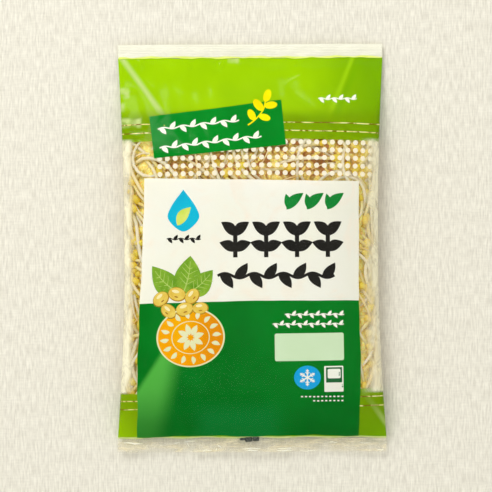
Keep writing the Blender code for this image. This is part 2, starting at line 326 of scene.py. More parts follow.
class Film:
    """A film panel as a grid of points and outward normals over s and y."""

    def __init__(self, columns, rows, height, relief, outward):
        self.columns, self.rows = columns, rows
        s, y = np.meshgrid(columns, rows)
        self.points = np.stack([s * half_width(y), y, height(s, y)], 2)
        lift = relief(self.points[..., 0], y, s)
        self.points += lift[..., None] * self.normals_of(self.points, 1)
        self.normals = self.normals_of(self.points, outward)
        self.room = np.full(s.shape, LEAST_ROOM)

    @staticmethod
    def normals_of(points, outward):
        across, along = np.gradient(points, axis=1), np.gradient(points, axis=0)
        normal = np.cross(across, along) * outward
        return normal / np.linalg.norm(normal, axis=2, keepdims=True)

    def blend(self, x, y, *grids):
        """Values of grids at (x, y), between their four nearest points."""
        s = np.clip(x / half_width(y), -1.0, 1.0)
        i = np.interp(s, self.columns, np.arange(len(self.columns)))
        j = np.interp(y, self.rows, np.arange(len(self.rows)))
        i0 = np.minimum(i.astype(int), len(self.columns) - 2)
        j0 = np.minimum(j.astype(int), len(self.rows) - 2)
        u, v = i - i0, j - j0
        results = []
        for grid in grids:
            shares = [(1 - u) * (1 - v), u * (1 - v), (1 - u) * v, u * v]
            if grid.ndim == 3:
                shares = [share[..., None] for share in shares]
            corners = [grid[j0, i0], grid[j0, i0 + 1], grid[j0 + 1, i0], grid[j0 + 1, i0 + 1]]
            results.append(sum(share * corner for share, corner in zip(shares, corners)))
        return results

    def at(self, x, y, depth):
        """Points of the film over (x, y), moved inward by depth, or less where room is short."""
        points, normals, room = self.blend(x, y, self.points, self.normals, self.room)
        held = depth * np.minimum(room / LEAST_ROOM, 1.0)
        return points - held[..., None] * normals


def side_heavy(count):
    """Values of s from -1 to 1, closer together where the film turns round the sides."""
    t = np.linspace(-1.0, 1.0, count)
    return mix(t, np.sin(math.pi / 2 * t), 0.75)


def make_films():
    """Both films, each with the room it has for print before it meets the other."""
    rows = np.linspace(-INNER_END, INNER_END, FRONT_ROWS)
    front = Film(side_heavy(FRONT_COLUMNS), rows, front_height, front_relief, 1)
    rows = np.linspace(-INNER_END, INNER_END, BACK_ROWS)
    back = Film(side_heavy(BACK_COLUMNS), rows, back_height, back_relief, -1)
    for film, other in ((front, back), (back, front)):
        (facing,) = other.blend(film.points[..., 0], film.points[..., 1], other.points[..., 2])
        film.room = np.clip(0.40 * np.abs(film.points[..., 2] - facing), 0.0, LEAST_ROOM)
    return front, back


# Shapes of print, each a list of (x, y) points with faces

def panel_shape(corners, bulges=(0, 0, 0, 0), waves=(0, 0, 0, 0), step=0.0010):
    """A four-sided shape. Corners run anticlockwise from the bottom left; bulges push the
    bottom, right, top and left side outward at its middle, and waves are their unevenness."""
    (ax, ay), (bx, by), (cx, cy), (dx, dy) = corners
    wide = max(2, int(abs(bx - ax) / step) + 1)
    high = max(2, int(abs(dy - ay) / step) + 1)
    u, v = np.meshgrid(np.linspace(0, 1, wide), np.linspace(0, 1, high))
    x = (ax * (1 - u) + bx * u) * (1 - v) + (dx * (1 - u) + cx * u) * v
    y = (ay * (1 - u) + by * u) * (1 - v) + (dy * (1 - u) + cy * u) * v
    across, along = 4 * u * (1 - u), 4 * v * (1 - v)
    across_wave = np.sin(13 * u + 1) + 0.6 * np.sin(29 * u) + 0.3 * np.sin(61 * u)
    along_wave = np.sin(11 * v + 2) + 0.6 * np.sin(23 * v)
    bottom = across * bulges[0] + across_wave * waves[0]
    right = along * bulges[1] + along_wave * waves[1]
    top = across * bulges[2] + across_wave * waves[2]
    left = along * bulges[3] + along_wave * waves[3]
    y = y + top * v - bottom * (1 - v)
    x = x + right * u - left * (1 - u)
    return np.stack([x.ravel(), y.ravel()], 1), grid_faces(wide, high)


def disc_shape(centre, radii, turn=0.0, hole=0.0, step=0.0010):
    """An ellipse, or a ring where hole is the inner edge's share of the radius."""
    around = max(16, int(math.tau * max(radii) / step))
    rings = max(2, int(max(radii) * (1 - hole) / step) + 2)
    angle = np.arange(around) * math.tau / around
    share = np.linspace(max(hole, 0.02), 1.0, rings)
    x = (share[:, None] * radii[0] * np.cos(angle)).ravel()
    y = (share[:, None] * radii[1] * np.sin(angle)).ravel()
    cos, sin = math.cos(turn), math.sin(turn)
    verts = np.stack([x * cos - y * sin, x * sin + y * cos], 1)
    j, i = np.meshgrid(np.arange(rings - 1), np.arange(around), indexing="ij")
    a, b = (j * around + i).ravel(), (j * around + (i + 1) % around).ravel()
    faces = np.stack([a, a + around, b + around, b], 1).tolist()
    if hole == 0.0:
        faces.append(list(range(around)))
    return verts + np.array(centre), faces


def outline_shape(points, step=0.0016):
    """Any outline, cut along a grid so that it can follow the film."""
    work = bmesh.new()
    work.faces.new([work.verts.new((x, y, 0.0)) for x, y in points])
    low, high = np.min(points, axis=0), np.max(points, axis=0)
    for axis, normal in ((0, (1, 0, 0)), (1, (0, 1, 0))):
        for place in np.arange(low[axis] + step, high[axis], step):
            point = [0.0, 0.0, 0.0]
            point[axis] = place
            geom = work.verts[:] + work.edges[:] + work.faces[:]
            bmesh.ops.bisect_plane(work, geom=geom, plane_co=point, plane_no=normal)
    work.normal_update()
    if work.faces[:] and work.faces[:][0].normal.z < 0:
        bmesh.ops.reverse_faces(work, faces=work.faces[:])
    work.verts.index_update()
    verts = np.array([vert.co.xy[:] for vert in work.verts])
    faces = [[vert.index for vert in face.verts] for face in work.faces]
    work.free()
    return verts, faces


def rounded_box(low, high, radius, tilt=0.0, corner_points=6):
    """Outline of a box with round corners, turned about its middle."""
    (x0, y0), (x1, y1) = low, high
    corners = [(x1 - radius, y1 - radius), (x0 + radius, y1 - radius)]
    corners += [(x0 + radius, y0 + radius), (x1 - radius, y0 + radius)]
    points = []
    for quarter, (cx, cy) in enumerate(corners):
        for k in range(corner_points + 1):
            angle = math.pi / 2 * (quarter + k / corner_points)
            points.append((cx + radius * math.cos(angle), cy + radius * math.sin(angle)))
    middle = np.array([(x0 + x1) / 2, (y0 + y1) / 2])
    turn = np.array([[math.cos(tilt), math.sin(tilt)], [-math.sin(tilt), math.cos(tilt)]])
    return (np.array(points) - middle) @ turn + middle


def left_of(direction):
    """A direction turned a quarter to its left."""
    return np.array([-direction[1], direction[0]])


def leaf_lines(base, tip, width, bend=0.0, widest=0.45, count=16):
    """Outline of a pointed leaf and its midrib, both bent to its left by bend."""
    base, tip = np.array(base), np.array(tip)
    along = tip - base
    square = left_of(along) / np.linalg.norm(along)
    t = np.linspace(0, 1, count)
    midrib = base + t[:, None] * along + (bend * 4 * t * (1 - t))[:, None] * square
    power = math.log(0.5) / math.log(widest)
    half = (width / 2 * np.sin(math.pi * t**power) ** 0.9)[:, None] * square
    return np.concatenate([midrib - half, (midrib + half)[-2:0:-1]]), midrib


def leaf_shape(base, tip, width, bend=0.0, widest=0.45):
    """A pointed leaf without its midrib."""
    return outline_shape(leaf_lines(base, tip, width, bend, widest)[0])


def stroke_shape(line, widths):
    """A line drawn with a width at each of its points."""
    line = np.array(line, float)
    widths = np.broadcast_to(widths, len(line))
    along = np.gradient(line, axis=0)
    square = np.stack([-along[:, 1], along[:, 0]], 1)
    square /= np.linalg.norm(square, axis=1, keepdims=True)
    half = square * (widths / 2)[:, None]
    verts = np.stack([line + half, line, line - half], 1).reshape(-1, 2)
    return verts, grid_faces(3, len(line))


def curve_line(points, count=24):
    """A smooth line through a few points."""
    return curve_through(np.array(points, float)[None], count)[0]


def outward(angle):
    """The direction at this angle, from the right anticlockwise."""
    return np.array([math.cos(angle), math.sin(angle)])


def joined(shapes, place):
    """Points and faces of all the shapes as one mesh, with place to put their points in space."""
    verts, faces, start = [], [], 0
    for points, shape_faces in shapes:
        verts.append(place(points))
        faces += [[int(k) + start for k in face] for face in shape_faces]
        start += len(points)
    return np.concatenate(verts), faces


def print_piece(name, shapes, film, depth, material):
    """Ink of one colour on the inside of a film."""
    verts, faces = joined(shapes, lambda points: film.at(points[:, 0], points[:, 1], depth))
    add_piece(name, verts, faces, material)


# Materials

def linear(red, green, blue):
    """A colour given as it looks, from 0 to 255, as light."""
    shares = [value / 255 for value in (red, green, blue)]
    return tuple(c / 12.92 if c <= 0.04045 else ((c + 0.055) / 1.055) ** 2.4 for c in shares) + (1.0,)


class Shader:
    """A material's node tree, with short ways to add nodes and join them."""

    def __init__(self, name):
        self.material = bpy.data.materials.new(name)
        self.material.use_nodes = True
        self.tree = self.material.node_tree
        self.tree.nodes.clear()
        self.output = self.add("ShaderNodeOutputMaterial")

    def add(self, kind, **values):
        node = self.tree.nodes.new(kind)
        for key, value in values.items():
            setattr(node, key, value)
        return node

    def join(self, source, target):
        self.tree.links.new(source, target)

    def noise(self, scale, detail=2.0, roughness=0.5, distortion=0.0, stretch=None):
        """Noise over the object's own coordinates."""
        place = self.add("ShaderNodeTexCoord").outputs["Object"]
        if stretch:
            mapping = self.add("ShaderNodeMapping")
            mapping.inputs["Scale"].default_value = stretch
            self.join(place, mapping.inputs["Vector"])
            place = mapping.outputs["Vector"]
        node = self.add("ShaderNodeTexNoise")
        node.inputs["Scale"].default_value = scale
        node.inputs["Detail"].default_value = detail
        node.inputs["Roughness"].default_value = roughness
        node.inputs["Distortion"].default_value = distortion
        self.join(place, node.inputs["Vector"])
        return node.outputs["Fac"]

    def ramp(self, source, stops):
        """Colours along a value, each stop a place on it and a colour from 0 to 255."""
        node = self.add("ShaderNodeValToRGB")
        elements = node.color_ramp.elements
        while len(elements) < len(stops):
            elements.new(0.5)
        for element, (place, colour) in zip(elements, stops):
            element.position = place
            element.color = linear(*colour)
        self.join(source, node.inputs["Fac"])
        return node.outputs["Color"]

    def scaled(self, source, low, high, start=0.0, end=1.0):
        """A value between start and end brought into a range."""
        node = self.add("ShaderNodeMapRange")
        node.inputs["From Min"].default_value = start
        node.inputs["From Max"].default_value = end
        node.inputs["To Min"].default_value = low
        node.inputs["To Max"].default_value = high
        self.join(source, node.inputs["Value"])
        return node.outputs["Result"]

    def maths(self, operation, first, second=0.0):
        """A sum on one value and a number or another value."""
        node = self.add("ShaderNodeMath", operation=operation)
        self.join(first, node.inputs[0])
        if isinstance(second, float):
            node.inputs[1].default_value = second
        else:
            self.join(second, node.inputs[1])
        return node.outputs["Value"]

    def times(self, first, *others):
        """A value times others, each of them a number or a value."""
        for other in others:
            first = self.maths("MULTIPLY", first, other)
        return first

    def reflectance(self, normal, straight):
        """Mirror share of a thin film: straight on, rising to 1 when seen edge on."""
        facing = self.add("ShaderNodeLayerWeight")
        facing.inputs["Blend"].default_value = 0.5
        self.join(normal, facing.inputs["Normal"])
        return self.scaled(self.maths("POWER", facing.outputs["Facing"], 5.0), straight, 1.0)

    def beyond(self, start, end):
        """0 before the point start, rising smoothly to 1 at the point end and after it."""
        start, end = Vector((*start, 0.0)), Vector((*end, 0.0))
        along = (end - start).normalized()
        node = self.add("ShaderNodeVectorMath", operation="DOT_PRODUCT")
        self.join(self.add("ShaderNodeTexCoord").outputs["Object"], node.inputs[0])
        node.inputs[1].default_value = along
        share = self.scaled(node.outputs["Value"], 0.0, 1.0, start.dot(along), end.dot(along))
        share.node.interpolation_type = "SMOOTHSTEP"
        return share

    def patch(self, low, high, soft):
        """1 inside a box from the point low to the point high, fading to 0 over soft."""
        (x0, y0), (x1, y1) = low, high
        fades = (
            ((x0 - soft, 0.0), (x0, 0.0)),
            ((x1 + soft, 0.0), (x1, 0.0)),
            ((0.0, y0 - soft), (0.0, y0)),
            ((0.0, y1 + soft), (0.0, y1)),
        )
        return self.times(*[self.beyond(start, end) for start, end in fades])

    def product(self, first, second):
        """Two colours multiplied."""
        node = self.add("ShaderNodeMixRGB", blend_type="MULTIPLY")
        node.inputs["Fac"].default_value = 1.0
        self.join(first, node.inputs["Color1"])
        self.join(second, node.inputs["Color2"])
        return node.outputs["Color"]

    def blended(self, share, first, colour):
        """A colour from another node, turned into a fixed one by a share."""
        node = self.add("ShaderNodeMixRGB")
        self.join(share, node.inputs["Fac"])
        self.join(first, node.inputs["Color1"])
        node.inputs["Color2"].default_value = linear(*colour)
        return node.outputs["Color"]

    def bump(self, source, height):
        node = self.add("ShaderNodeBump")
        node.inputs["Distance"].default_value = height
        self.join(source, node.inputs["Height"])
        return node.outputs["Normal"]

    def principled(self, roughness, **values):
        node = self.add("ShaderNodeBsdfPrincipled")
        node.inputs["Roughness"].default_value = roughness
        for key, value in values.items():
            node.inputs[key.replace("_", " ")].default_value = value
        return node

    def mixed(self, share, first, second):
        """Two shaders mixed by a number or by a value from another node."""
        node = self.add("ShaderNodeMixShader")
        if isinstance(share, float):
            node.inputs["Fac"].default_value = share
        else:
            self.join(share, node.inputs["Fac"])
        self.join(first, node.inputs[1])
        self.join(second, node.inputs[2])
        return node.outputs[0]

    def finish(self, shader):
        self.join(shader, self.output.inputs["Surface"])
        return self.material


# Where the haze at the film's sides starts and where it is full, as points, and its limits
LEFT_HAZE = (-0.0858, 0.0), (-0.0922, 0.0)
RIGHT_HAZE = (0.0803, 0.0), (0.0930, 0.0)
BELOW_HEADER = (0.0, 0.0820), (0.0, 0.0795)
ABOVE_FOOTER = (0.0, -0.1085), (0.0, -0.1055)


FILM_REFLECTANCE = 0.0045


def film_layers(shader, share, colour, passes, roughness, normal):
    """A clear layer that is milky by a share, of which some passes light on, under its gloss."""
    clear = shader.add("ShaderNodeBsdfTransparent")
    clear.inputs["Color"].default_value = (0.995, 0.995, 0.99, 1.0)
    milk = shader.add("ShaderNodeBsdfDiffuse")
    milk.inputs["Color"].default_value = linear(*colour)
    glow = shader.add("ShaderNodeBsdfTranslucent")
    glow.inputs["Color"].default_value = linear(*colour)
    milky = shader.mixed(passes, milk.outputs[0], glow.outputs[0])
    body = shader.mixed(share, clear.outputs[0], milky)
    gloss = shader.add("ShaderNodeBsdfGlossy")
    gloss.inputs["Roughness"].default_value = roughness
    shader.join(normal, gloss.inputs["Normal"])
    mirror = shader.reflectance(normal, FILM_REFLECTANCE)
    return shader.finish(shader.mixed(mirror, body, gloss.outputs[0]))


def clear_film(name, haze, colour, side_haze=None, passes=0.4, roughness=0.12, crinkle=(420, 0.00006)):
    """Thin clear film: see-through, a little milky, with a gloss that follows its fine crinkles.
    Side haze, for the left and the right, is added where it turns round the sides of the bag's
    clear part."""
    shader = Shader(name)
    normal = shader.bump(shader.noise(crinkle[0], 3.0, 0.55, 0.6), crinkle[1])
    share = shader.scaled(shader.noise(70.0, 4.0, 0.6), haze * 0.5, haze * 1.5)
    if side_haze:
        streaks = shader.noise(110.0, 3.0, 0.6, 0.6, (1, 0.5, 1))
        streaks = shader.scaled(streaks, 0.35, 1.2, 0.36, 0.62)
        left = shader.times(shader.beyond(*LEFT_HAZE), side_haze[0])
        right = shader.times(shader.beyond(*RIGHT_HAZE), side_haze[1])
        sides = shader.maths("ADD", left, right)
        limits = [shader.beyond(*limit) for limit in (BELOW_HEADER, ABOVE_FOOTER)]
        share = shader.maths("ADD", share, shader.times(sides, *limits, streaks))
    return film_layers(shader, share, colour, passes, roughness, normal)


def seal_film(name, colour, haze, streak):
    """Welded film: a little milky all over and more so in uneven streaks, with gloss on them."""
    shader = Shader(name)
    streaks = shader.noise(300.0, 5.0, 0.65, 0.8, (0.16, 1.0, 1.0))
    share = shader.scaled(streaks, haze, streak, 0.44, 0.68)
    normal = shader.bump(streaks, 0.0010)
    return film_layers(shader, share, colour, 0.2, 0.14, normal)


def ink(name, colour, deep, scale=35.0, passes=0.15, clear=0.0, tint=None, parts=()):
    """Printed ink under film: an even colour that runs a little lighter and deeper, and passes
    some light on. The share clear of it is see-through, with its own tint. Some parts may have
    another colour, each given as a way to find its share and that colour."""
    shader = Shader(name)
    clouds = shader.noise(scale, 4.0, 0.55, 0.3)
    tone = shader.ramp(clouds, [(0.30, deep), (0.70, colour)])
    for share, other in parts:
        tone = shader.blended(share(shader), tone, other)
    body = shader.principled(0.6, Specular_IOR_Level=0.0)
    shader.join(tone, body.inputs["Base Color"])
    shader.join(shader.bump(shader.noise(900.0, 2.0), 0.00002), body.inputs["Normal"])
    glow = shader.add("ShaderNodeBsdfTranslucent")
    shader.join(tone, glow.inputs["Color"])
    mixed = shader.mixed(passes, body.outputs[0], glow.outputs[0])
    if clear:
        window = shader.add("ShaderNodeBsdfTransparent")
        window.inputs["Color"].default_value = linear(*(tint or colour))
        mixed = shader.mixed(clear, mixed, window.outputs[0])
    return shader.finish(mixed)


def sprout_material(name, along, own_tones, roughness, bumps, glow_colour):
    """Moist plant flesh. Its UV map holds the share of the way along a sprout, which sets the
    colour, and a number of its own for each sprout, which shifts it."""
    shader = Shader(name)
    uv = shader.add("ShaderNodeUVMap", uv_map="along")
    parts = shader.add("ShaderNodeSeparateXYZ")
    shader.join(uv.outputs["UV"], parts.inputs["Vector"])
    along_tone = shader.ramp(parts.outputs["X"], along)
    colour = shader.product(along_tone, shader.ramp(parts.outputs["Y"], own_tones))
    body = shader.principled(roughness, Subsurface_Weight=0.25, Subsurface_Scale=0.004)
    body.inputs["Subsurface Radius"].default_value = (1.0, 0.75, 0.35)
    shader.join(colour, body.inputs["Base Color"])
    scale, height = bumps
    shader.join(shader.bump(shader.noise(scale, 3.0), height), body.inputs["Normal"])
    glow = shader.add("ShaderNodeBsdfTranslucent")
    glow.inputs["Color"].default_value = linear(*glow_colour)
    return shader.finish(shader.mixed(0.35, body.outputs[0], glow.outputs[0]))


def stem_material():
    """Pale flesh that yellows towards the head and browns at the root's tip."""
    along = [
        (0.00, (250, 238, 150)),
        (0.10, (255, 251, 228)),
        (0.62, (255, 252, 234)),
        (0.88, (255, 244, 206)),
        (1.00, (236, 196, 120)),
    ]
    tones = [(0.0, (255, 255, 250)), (0.6, (255, 250, 232)), (1.0, (254, 240, 196))]
    return sprout_material("sprout stem", along, tones, 0.38, (500.0, 0.00010), (255, 240, 190))


def head_material():
    """Yellow seed leaves, some of them greener."""
    along = [
        (0.00, (250, 222, 70)),
        (0.35, (255, 236, 90)),
        (0.80, (255, 242, 126)),
        (1.00, (252, 224, 104)),
    ]
    tones = [(0.0, (255, 255, 235)), (0.7, (255, 244, 205)), (1.0, (230, 226, 150))]
    return sprout_material("bean head", along, tones, 0.34, (380.0, 0.00012), (255, 220, 90))


WINDOW = (-0.066, 0.055), (0.072, 0.095)


def core_material():
    """Packed sprouts: pale strands over golden painted shade, with brown painted shade in the gaps under
    the clear window.
    """
    shader = Shader("sprout mass")
    strands = shader.noise(260.0, 4.0, 0.65, 2.5, (1, 0.6, 1))
    tone = shader.ramp(strands, [(0.30, (200, 146, 50)), (0.46, (248, 222, 104)), (0.70, (255, 250, 180))])
    # Painted shade: brown in the gaps between sprouts, only under the clear window
    gaps = shader.scaled(shader.noise(150.0, 3.0, 0.6, 1.0), 1.0, 0.0, 0.42, 0.58)
    tone = shader.blended(shader.times(shader.patch(*WINDOW, 0.012), gaps), tone, (168, 108, 36))
    body = shader.principled(0.55, Subsurface_Weight=0.3, Subsurface_Scale=0.006)
    shader.join(tone, body.inputs["Base Color"])
    shader.join(shader.bump(strands, 0.0005), body.inputs["Normal"])
    return shader.finish(body.outputs[0])


# The tangle of sprouts

class Inside:
    """The space between the two films."""

    def __init__(self, front, back):
        self.front, self.back = front, back
        self.front_steep = np.clip(1 / np.abs(front.normals[..., 2]), 1.0, 2.5)
        self.back_steep = np.clip(1 / np.abs(back.normals[..., 2]), 1.0, 2.5)

    def range_at(self, x, y, clearance):
        """Lowest and highest place at (x, y) that keeps clearance from the films."""
        high, high_steep = self.front.blend(x, y, self.front.points[..., 2], self.front_steep)
        low, low_steep = self.back.blend(x, y, self.back.points[..., 2], self.back_steep)
        low = low + (clearance + FILM_MARGIN) * low_steep
        high = high - (clearance + FILM_MARGIN) * high_steep
        middle = (low + high) / 2
        return np.minimum(low, middle), np.maximum(high, middle)

    def keep(self, points, radius):
        """Moves points back between the films and inside the bag's filled part."""
        x, y, z = points[..., 0], points[..., 1], points[..., 2]
        y[:] = np.clip(y, SPROUT_Y[0] + radius, SPROUT_Y[1] - radius)
        side = half_width(y) - radius
        x[:] = np.clip(x, LEFT_MARGIN - side, side - RIGHT_MARGIN)
        z[:] = np.clip(z, *self.range_at(x, y, radius))


def start_sprouts(draw, inside):
    """Each sprout as a curved row of nodes, spread evenly through the bag, and its length. Of
    some tries the one is kept that stays best inside. The head of a sprout in the outer part of
    the bag is drawn to the strip between the label and the bag's side."""
    count, nodes = SPROUTS, SPROUT_NODES
    turns = [SPREAD_RATIO**-1, SPREAD_RATIO**-2, SPREAD_RATIO**-3]
    spots = (0.5 + np.outer(np.arange(count), turns)) % 1.0
    middle = np.stack([mix(*SPROUT_X, spots[:, 0]), mix(*SPROUT_Y, spots[:, 1])], 1)
    length = draw.uniform(*SPROUT_LENGTH, count)
    step = (length / (nodes - 1))[:, None]
    best, best_out = np.zeros((count, nodes, 2)), np.full(count, np.inf)
    for _ in range(START_TRIES):
        heading = draw.uniform(0, math.tau, (count, 1))
        bend = draw.normal(0.0, 0.24, (count, 1))
        sway = draw.normal(0.0, 0.45, (count, 1))
        phase = draw.uniform(0, math.tau, (count, 1))
        t = np.linspace(0, 1, nodes - 1)[None, :]
        heading = heading + bend * nodes * t + sway * np.sin(math.tau * t + phase)
        x = np.concatenate([np.zeros((count, 1)), np.cumsum(step * np.cos(heading), 1)], 1)
        y = np.concatenate([np.zeros((count, 1)), np.cumsum(step * np.sin(heading), 1)], 1)
        x += middle[:, :1] - x.mean(1, keepdims=True)
        y += middle[:, 1:] - y.mean(1, keepdims=True)
        side = half_width(y)
        out = np.maximum(x - side + RIGHT_MARGIN, 0) + np.maximum(LEFT_MARGIN - side - x, 0)
        out += np.maximum(y - SPROUT_Y[1], 0) + np.maximum(SPROUT_Y[0] - y, 0)
        from_strip = np.abs(side[:, 0] - STRIP_DEPTH - np.abs(x[:, 0]))
        beside = np.where(np.abs(middle[:, 0]) > OUTER_X, from_strip, 0.0)
        out = out.sum(1) + 8 * out[:, 0] + STRIP_PULL * beside
        better = out < best_out
        best[better] = np.stack([x, y], 2)[better]
        best_out = np.minimum(out, best_out)
    x, y = best[..., 0], best[..., 1]
    low, high = inside.range_at(x, y, 0.0)
    level = spots[:, 2:] + draw.normal(0, 0.22, (count, 1)) * np.linspace(-1, 1, nodes)[None, :]
    z = mix(low, high, np.clip(level, 0.04, 0.96))
    return np.stack([x, y, z], 2), length


def near_pairs(middles, owner, reach):
    """Pairs of segments of different sprouts whose middles are within reach."""
    first, second = [], []
    block = 512
    for start in range(0, len(middles), block):
        part = middles[start:start + block]
        gap = part[:, None, :] - middles[None, :, :]
        near = (gap**2).sum(2) < reach**2
        a, b = np.nonzero(near)
        a = a + start
        keep = (a < b) & (owner[a] != owner[b])
        first.append(a[keep])
        second.append(b[keep])
    return np.concatenate(first), np.concatenate(second)


def closest_shares(p, q, a, b):
    """Where the segments p-q and a-b come closest, as shares along each."""
    along, other, offset = q - p, b - a, p - a
    aa, ee = (along**2).sum(1) + 1e-12, (other**2).sum(1) + 1e-12
    ff, bb, cc = (other * offset).sum(1), (along * other).sum(1), (along * offset).sum(1)
    first = np.clip((bb * ff - cc * ee) / np.maximum(aa * ee - bb * bb, 1e-14), 0, 1)
    second = np.clip((bb * first + ff) / ee, 0, 1)
    return np.clip((bb * second - cc) / aa, 0, 1), second


def push_apart(points, radius, pairs):
    """Moves segments that overlap away from each other."""
    flat = points.reshape(-1, 3)
    nodes = points.shape[1]
    segments = np.arange(len(points) * (nodes - 1))
    start = segments // (nodes - 1) * nodes + segments % (nodes - 1)
    i, j = start[pairs[0]], start[pairs[1]]
    s, t = closest_shares(flat[i], flat[i + 1], flat[j], flat[j + 1])
    s, t = s[:, None], t[:, None]
    gap = mix(flat[i], flat[i + 1], s) - mix(flat[j], flat[j + 1], t)
    thick = radius.reshape(-1)
    reach = mix(thick[i], thick[i + 1], s[:, 0]) + mix(thick[j], thick[j + 1], t[:, 0])
    distance = np.linalg.norm(gap, axis=1)
    hit = distance < reach
    i, j, s, t, gap, distance = i[hit], j[hit], s[hit], t[hit], gap[hit], distance[hit]
    gap[distance < 1e-6] = (0, 0, 1e-6)
    push = gap * ((reach[hit] - distance) / np.maximum(distance, 1e-6) / 2)[:, None]
    move, hits = np.zeros_like(flat), np.zeros(len(flat))
    for node, share, sign in ((i, 1 - s, 1), (i + 1, s, 1), (j, 1 - t, -1), (j + 1, t, -1)):
        np.add.at(move, node, sign * share * push)
        np.add.at(hits, node, share[:, 0])
    flat += PUSH * move / np.maximum(hits, 1.0)[:, None]


def keep_lengths(points, step):
    """Brings neighbouring nodes back to their distance along the sprout."""
    segments = list(range(points.shape[1] - 1))
    for k in segments + segments[::-1]:
        gap = points[:, k + 1] - points[:, k]
        distance = np.maximum(np.linalg.norm(gap, axis=1), 1e-6)
        fix = gap * ((distance - step) / distance / 2)[:, None]
        points[:, k] += fix
        points[:, k + 1] -= fix


def pack_sprouts(draw, inside):
    """Lays the sprouts in the bag so that they lie on and beside each other."""
    points, length = start_sprouts(draw, inside)
    nodes = SPROUT_NODES
    step = length / (nodes - 1)
    t = np.linspace(0, 1, nodes)[None, :]
    radius = draw.uniform(*STEM_RADIUS, SPROUTS)[:, None]
    radius = mix(radius, ROOT_RADIUS, smooth((t - 0.55) / 0.45))
    reach = radius.copy()
    reach[:, 0] = HEAD_REACH
    owner = np.repeat(np.arange(SPROUTS), nodes - 1)
    rest = points[:, :-2] - 2 * points[:, 1:-1] + points[:, 2:]
    for turn in range(PACK_ROUNDS):
        if turn % 8 == 0:
            middles = ((points[:, 1:] + points[:, :-1]) / 2).reshape(-1, 3).astype(np.float32)
            pairs = near_pairs(middles, owner, step.max() + 0.005)
        push_apart(points, reach, pairs)
        bend = points[:, :-2] - 2 * points[:, 1:-1] + points[:, 2:]
        points[:, 1:-1] += STIFFNESS * (bend - rest)
        keep_lengths(points, step)
        inside.keep(points, reach)
    return points, radius


def curve_through(points, count):
    """Points on a smooth curve through each row of nodes."""
    first, last = 2 * points[:, :1] - points[:, 1:2], 2 * points[:, -1:] - points[:, -2:-1]
    ends = np.concatenate([first, points, last], 1)
    place = np.linspace(0, points.shape[1] - 1, count)
    k = np.minimum(place.astype(int), points.shape[1] - 2)
    t = (place - k)[None, :, None]
    a, b, c, d = ends[:, k], ends[:, k + 1], ends[:, k + 2], ends[:, k + 3]
    squared, cubed = 2 * a - 5 * b + 4 * c - d, 3 * b - a - 3 * c + d
    return 0.5 * (2 * b + (c - a) * t + squared * t**2 + cubed * t**3)


def carried_frames(paths):
    """Tangent and two square directions at each point of each path, without twist."""
    tangent = np.gradient(paths, axis=1)
    tangent /= np.linalg.norm(tangent, axis=2, keepdims=True)
    across = np.cross(tangent[:, 0], [0.0, 0.0, 1.0])
    across /= np.linalg.norm(across, axis=1, keepdims=True)
    all_across = []
    for k in range(paths.shape[1]):
        across = across - (across * tangent[:, k]).sum(1, keepdims=True) * tangent[:, k]
        across = across / np.linalg.norm(across, axis=1, keepdims=True)
        all_across.append(across)
    across = np.stack(all_across, 1)
    return tangent, across, np.cross(tangent, across)


def set_along(piece, share, own):
    """Stores each vertex's share along its sprout and its sprout's own number as a UV map."""
    mesh = piece.data
    layer = mesh.uv_layers.new(name="along")
    index = np.empty(len(mesh.loops), dtype=np.int32)
    mesh.loops.foreach_get("vertex_index", index)
    layer.data.foreach_set("uv", np.stack([share[index], own[index]], 1).ravel().astype(np.float32))


def ringed_faces(rings, segments, count):
    """Faces of closed shapes, each stored as rings of points followed by its two tips."""
    j, i = np.meshgrid(np.arange(rings - 1), np.arange(segments), indexing="ij")
    a, b = (j * segments + i).ravel(), (j * segments + (i + 1) % segments).ravel()
    quads = np.stack([a, b, b + segments, a + segments], 1)
    k = np.arange(segments)
    n, last_ring, body = (k + 1) % segments, (rings - 1) * segments, rings * segments
    first = np.stack([np.full(segments, body), n, k], 1)
    last = np.stack([np.full(segments, body + 1), k + last_ring, n + last_ring], 1)
    faces = []
    for number in range(count):
        for part in (quads, first, last):
            faces += (part + number * (body + 2)).tolist()
    return faces


def tube_mesh(paths, radii, sides):
    """Closed tubes along many paths at once."""
    tangent, across, up = carried_frames(paths)
    angle = np.arange(sides) * math.tau / sides
    ring = np.cos(angle)[:, None] * across[:, :, None, :] + np.sin(angle)[:, None] * up[:, :, None, :]
    verts = paths[:, :, None, :] + radii[:, :, None, None] * ring
    count, rings = paths.shape[:2]
    start = paths[:, 0] - tangent[:, 0] * radii[:, :1]
    end = paths[:, -1] + tangent[:, -1] * radii[:, -1:] * 2
    verts = np.concatenate([verts.reshape(count, rings * sides, 3), start[:, None], end[:, None]], 1)
    return verts.reshape(-1, 3), ringed_faces(rings, sides, count)


def head_mesh(centres, along, across, up, sizes, segments=14, rings=8):
    """Bean heads: two lobes with a groove between them, closed at both ends."""
    tilt = np.linspace(0, math.pi, rings + 2)[1:-1]
    turn = np.arange(segments) * math.tau / segments
    groove = 1 - 0.20 * np.exp(-((np.cos(turn) / 0.30) ** 2))
    wide = np.sin(tilt)[:, None] * groove[None, :] * (1 + 0.12 * np.sin(tilt * 2)[:, None])
    x = np.broadcast_to(-np.cos(tilt)[:, None], wide.shape)
    local = np.stack([x.ravel(), (wide * np.cos(turn)).ravel(), (wide * np.sin(turn)).ravel()], 1)
    local = np.concatenate([local, [[-1, 0, 0], [1, 0, 0]]])
    size = np.stack([sizes / 2, sizes * 0.30, sizes * 0.34], 1)
    verts = centres[:, None]
    for axis, direction in enumerate((along, across, up)):
        verts = verts + (local[None, :, axis] * size[:, axis:axis + 1])[..., None] * direction[:, None]
    share = np.tile((local[:, 0] + 1) / 2, len(centres))
    return verts.reshape(-1, 3), ringed_faces(rings, segments, len(centres)), share


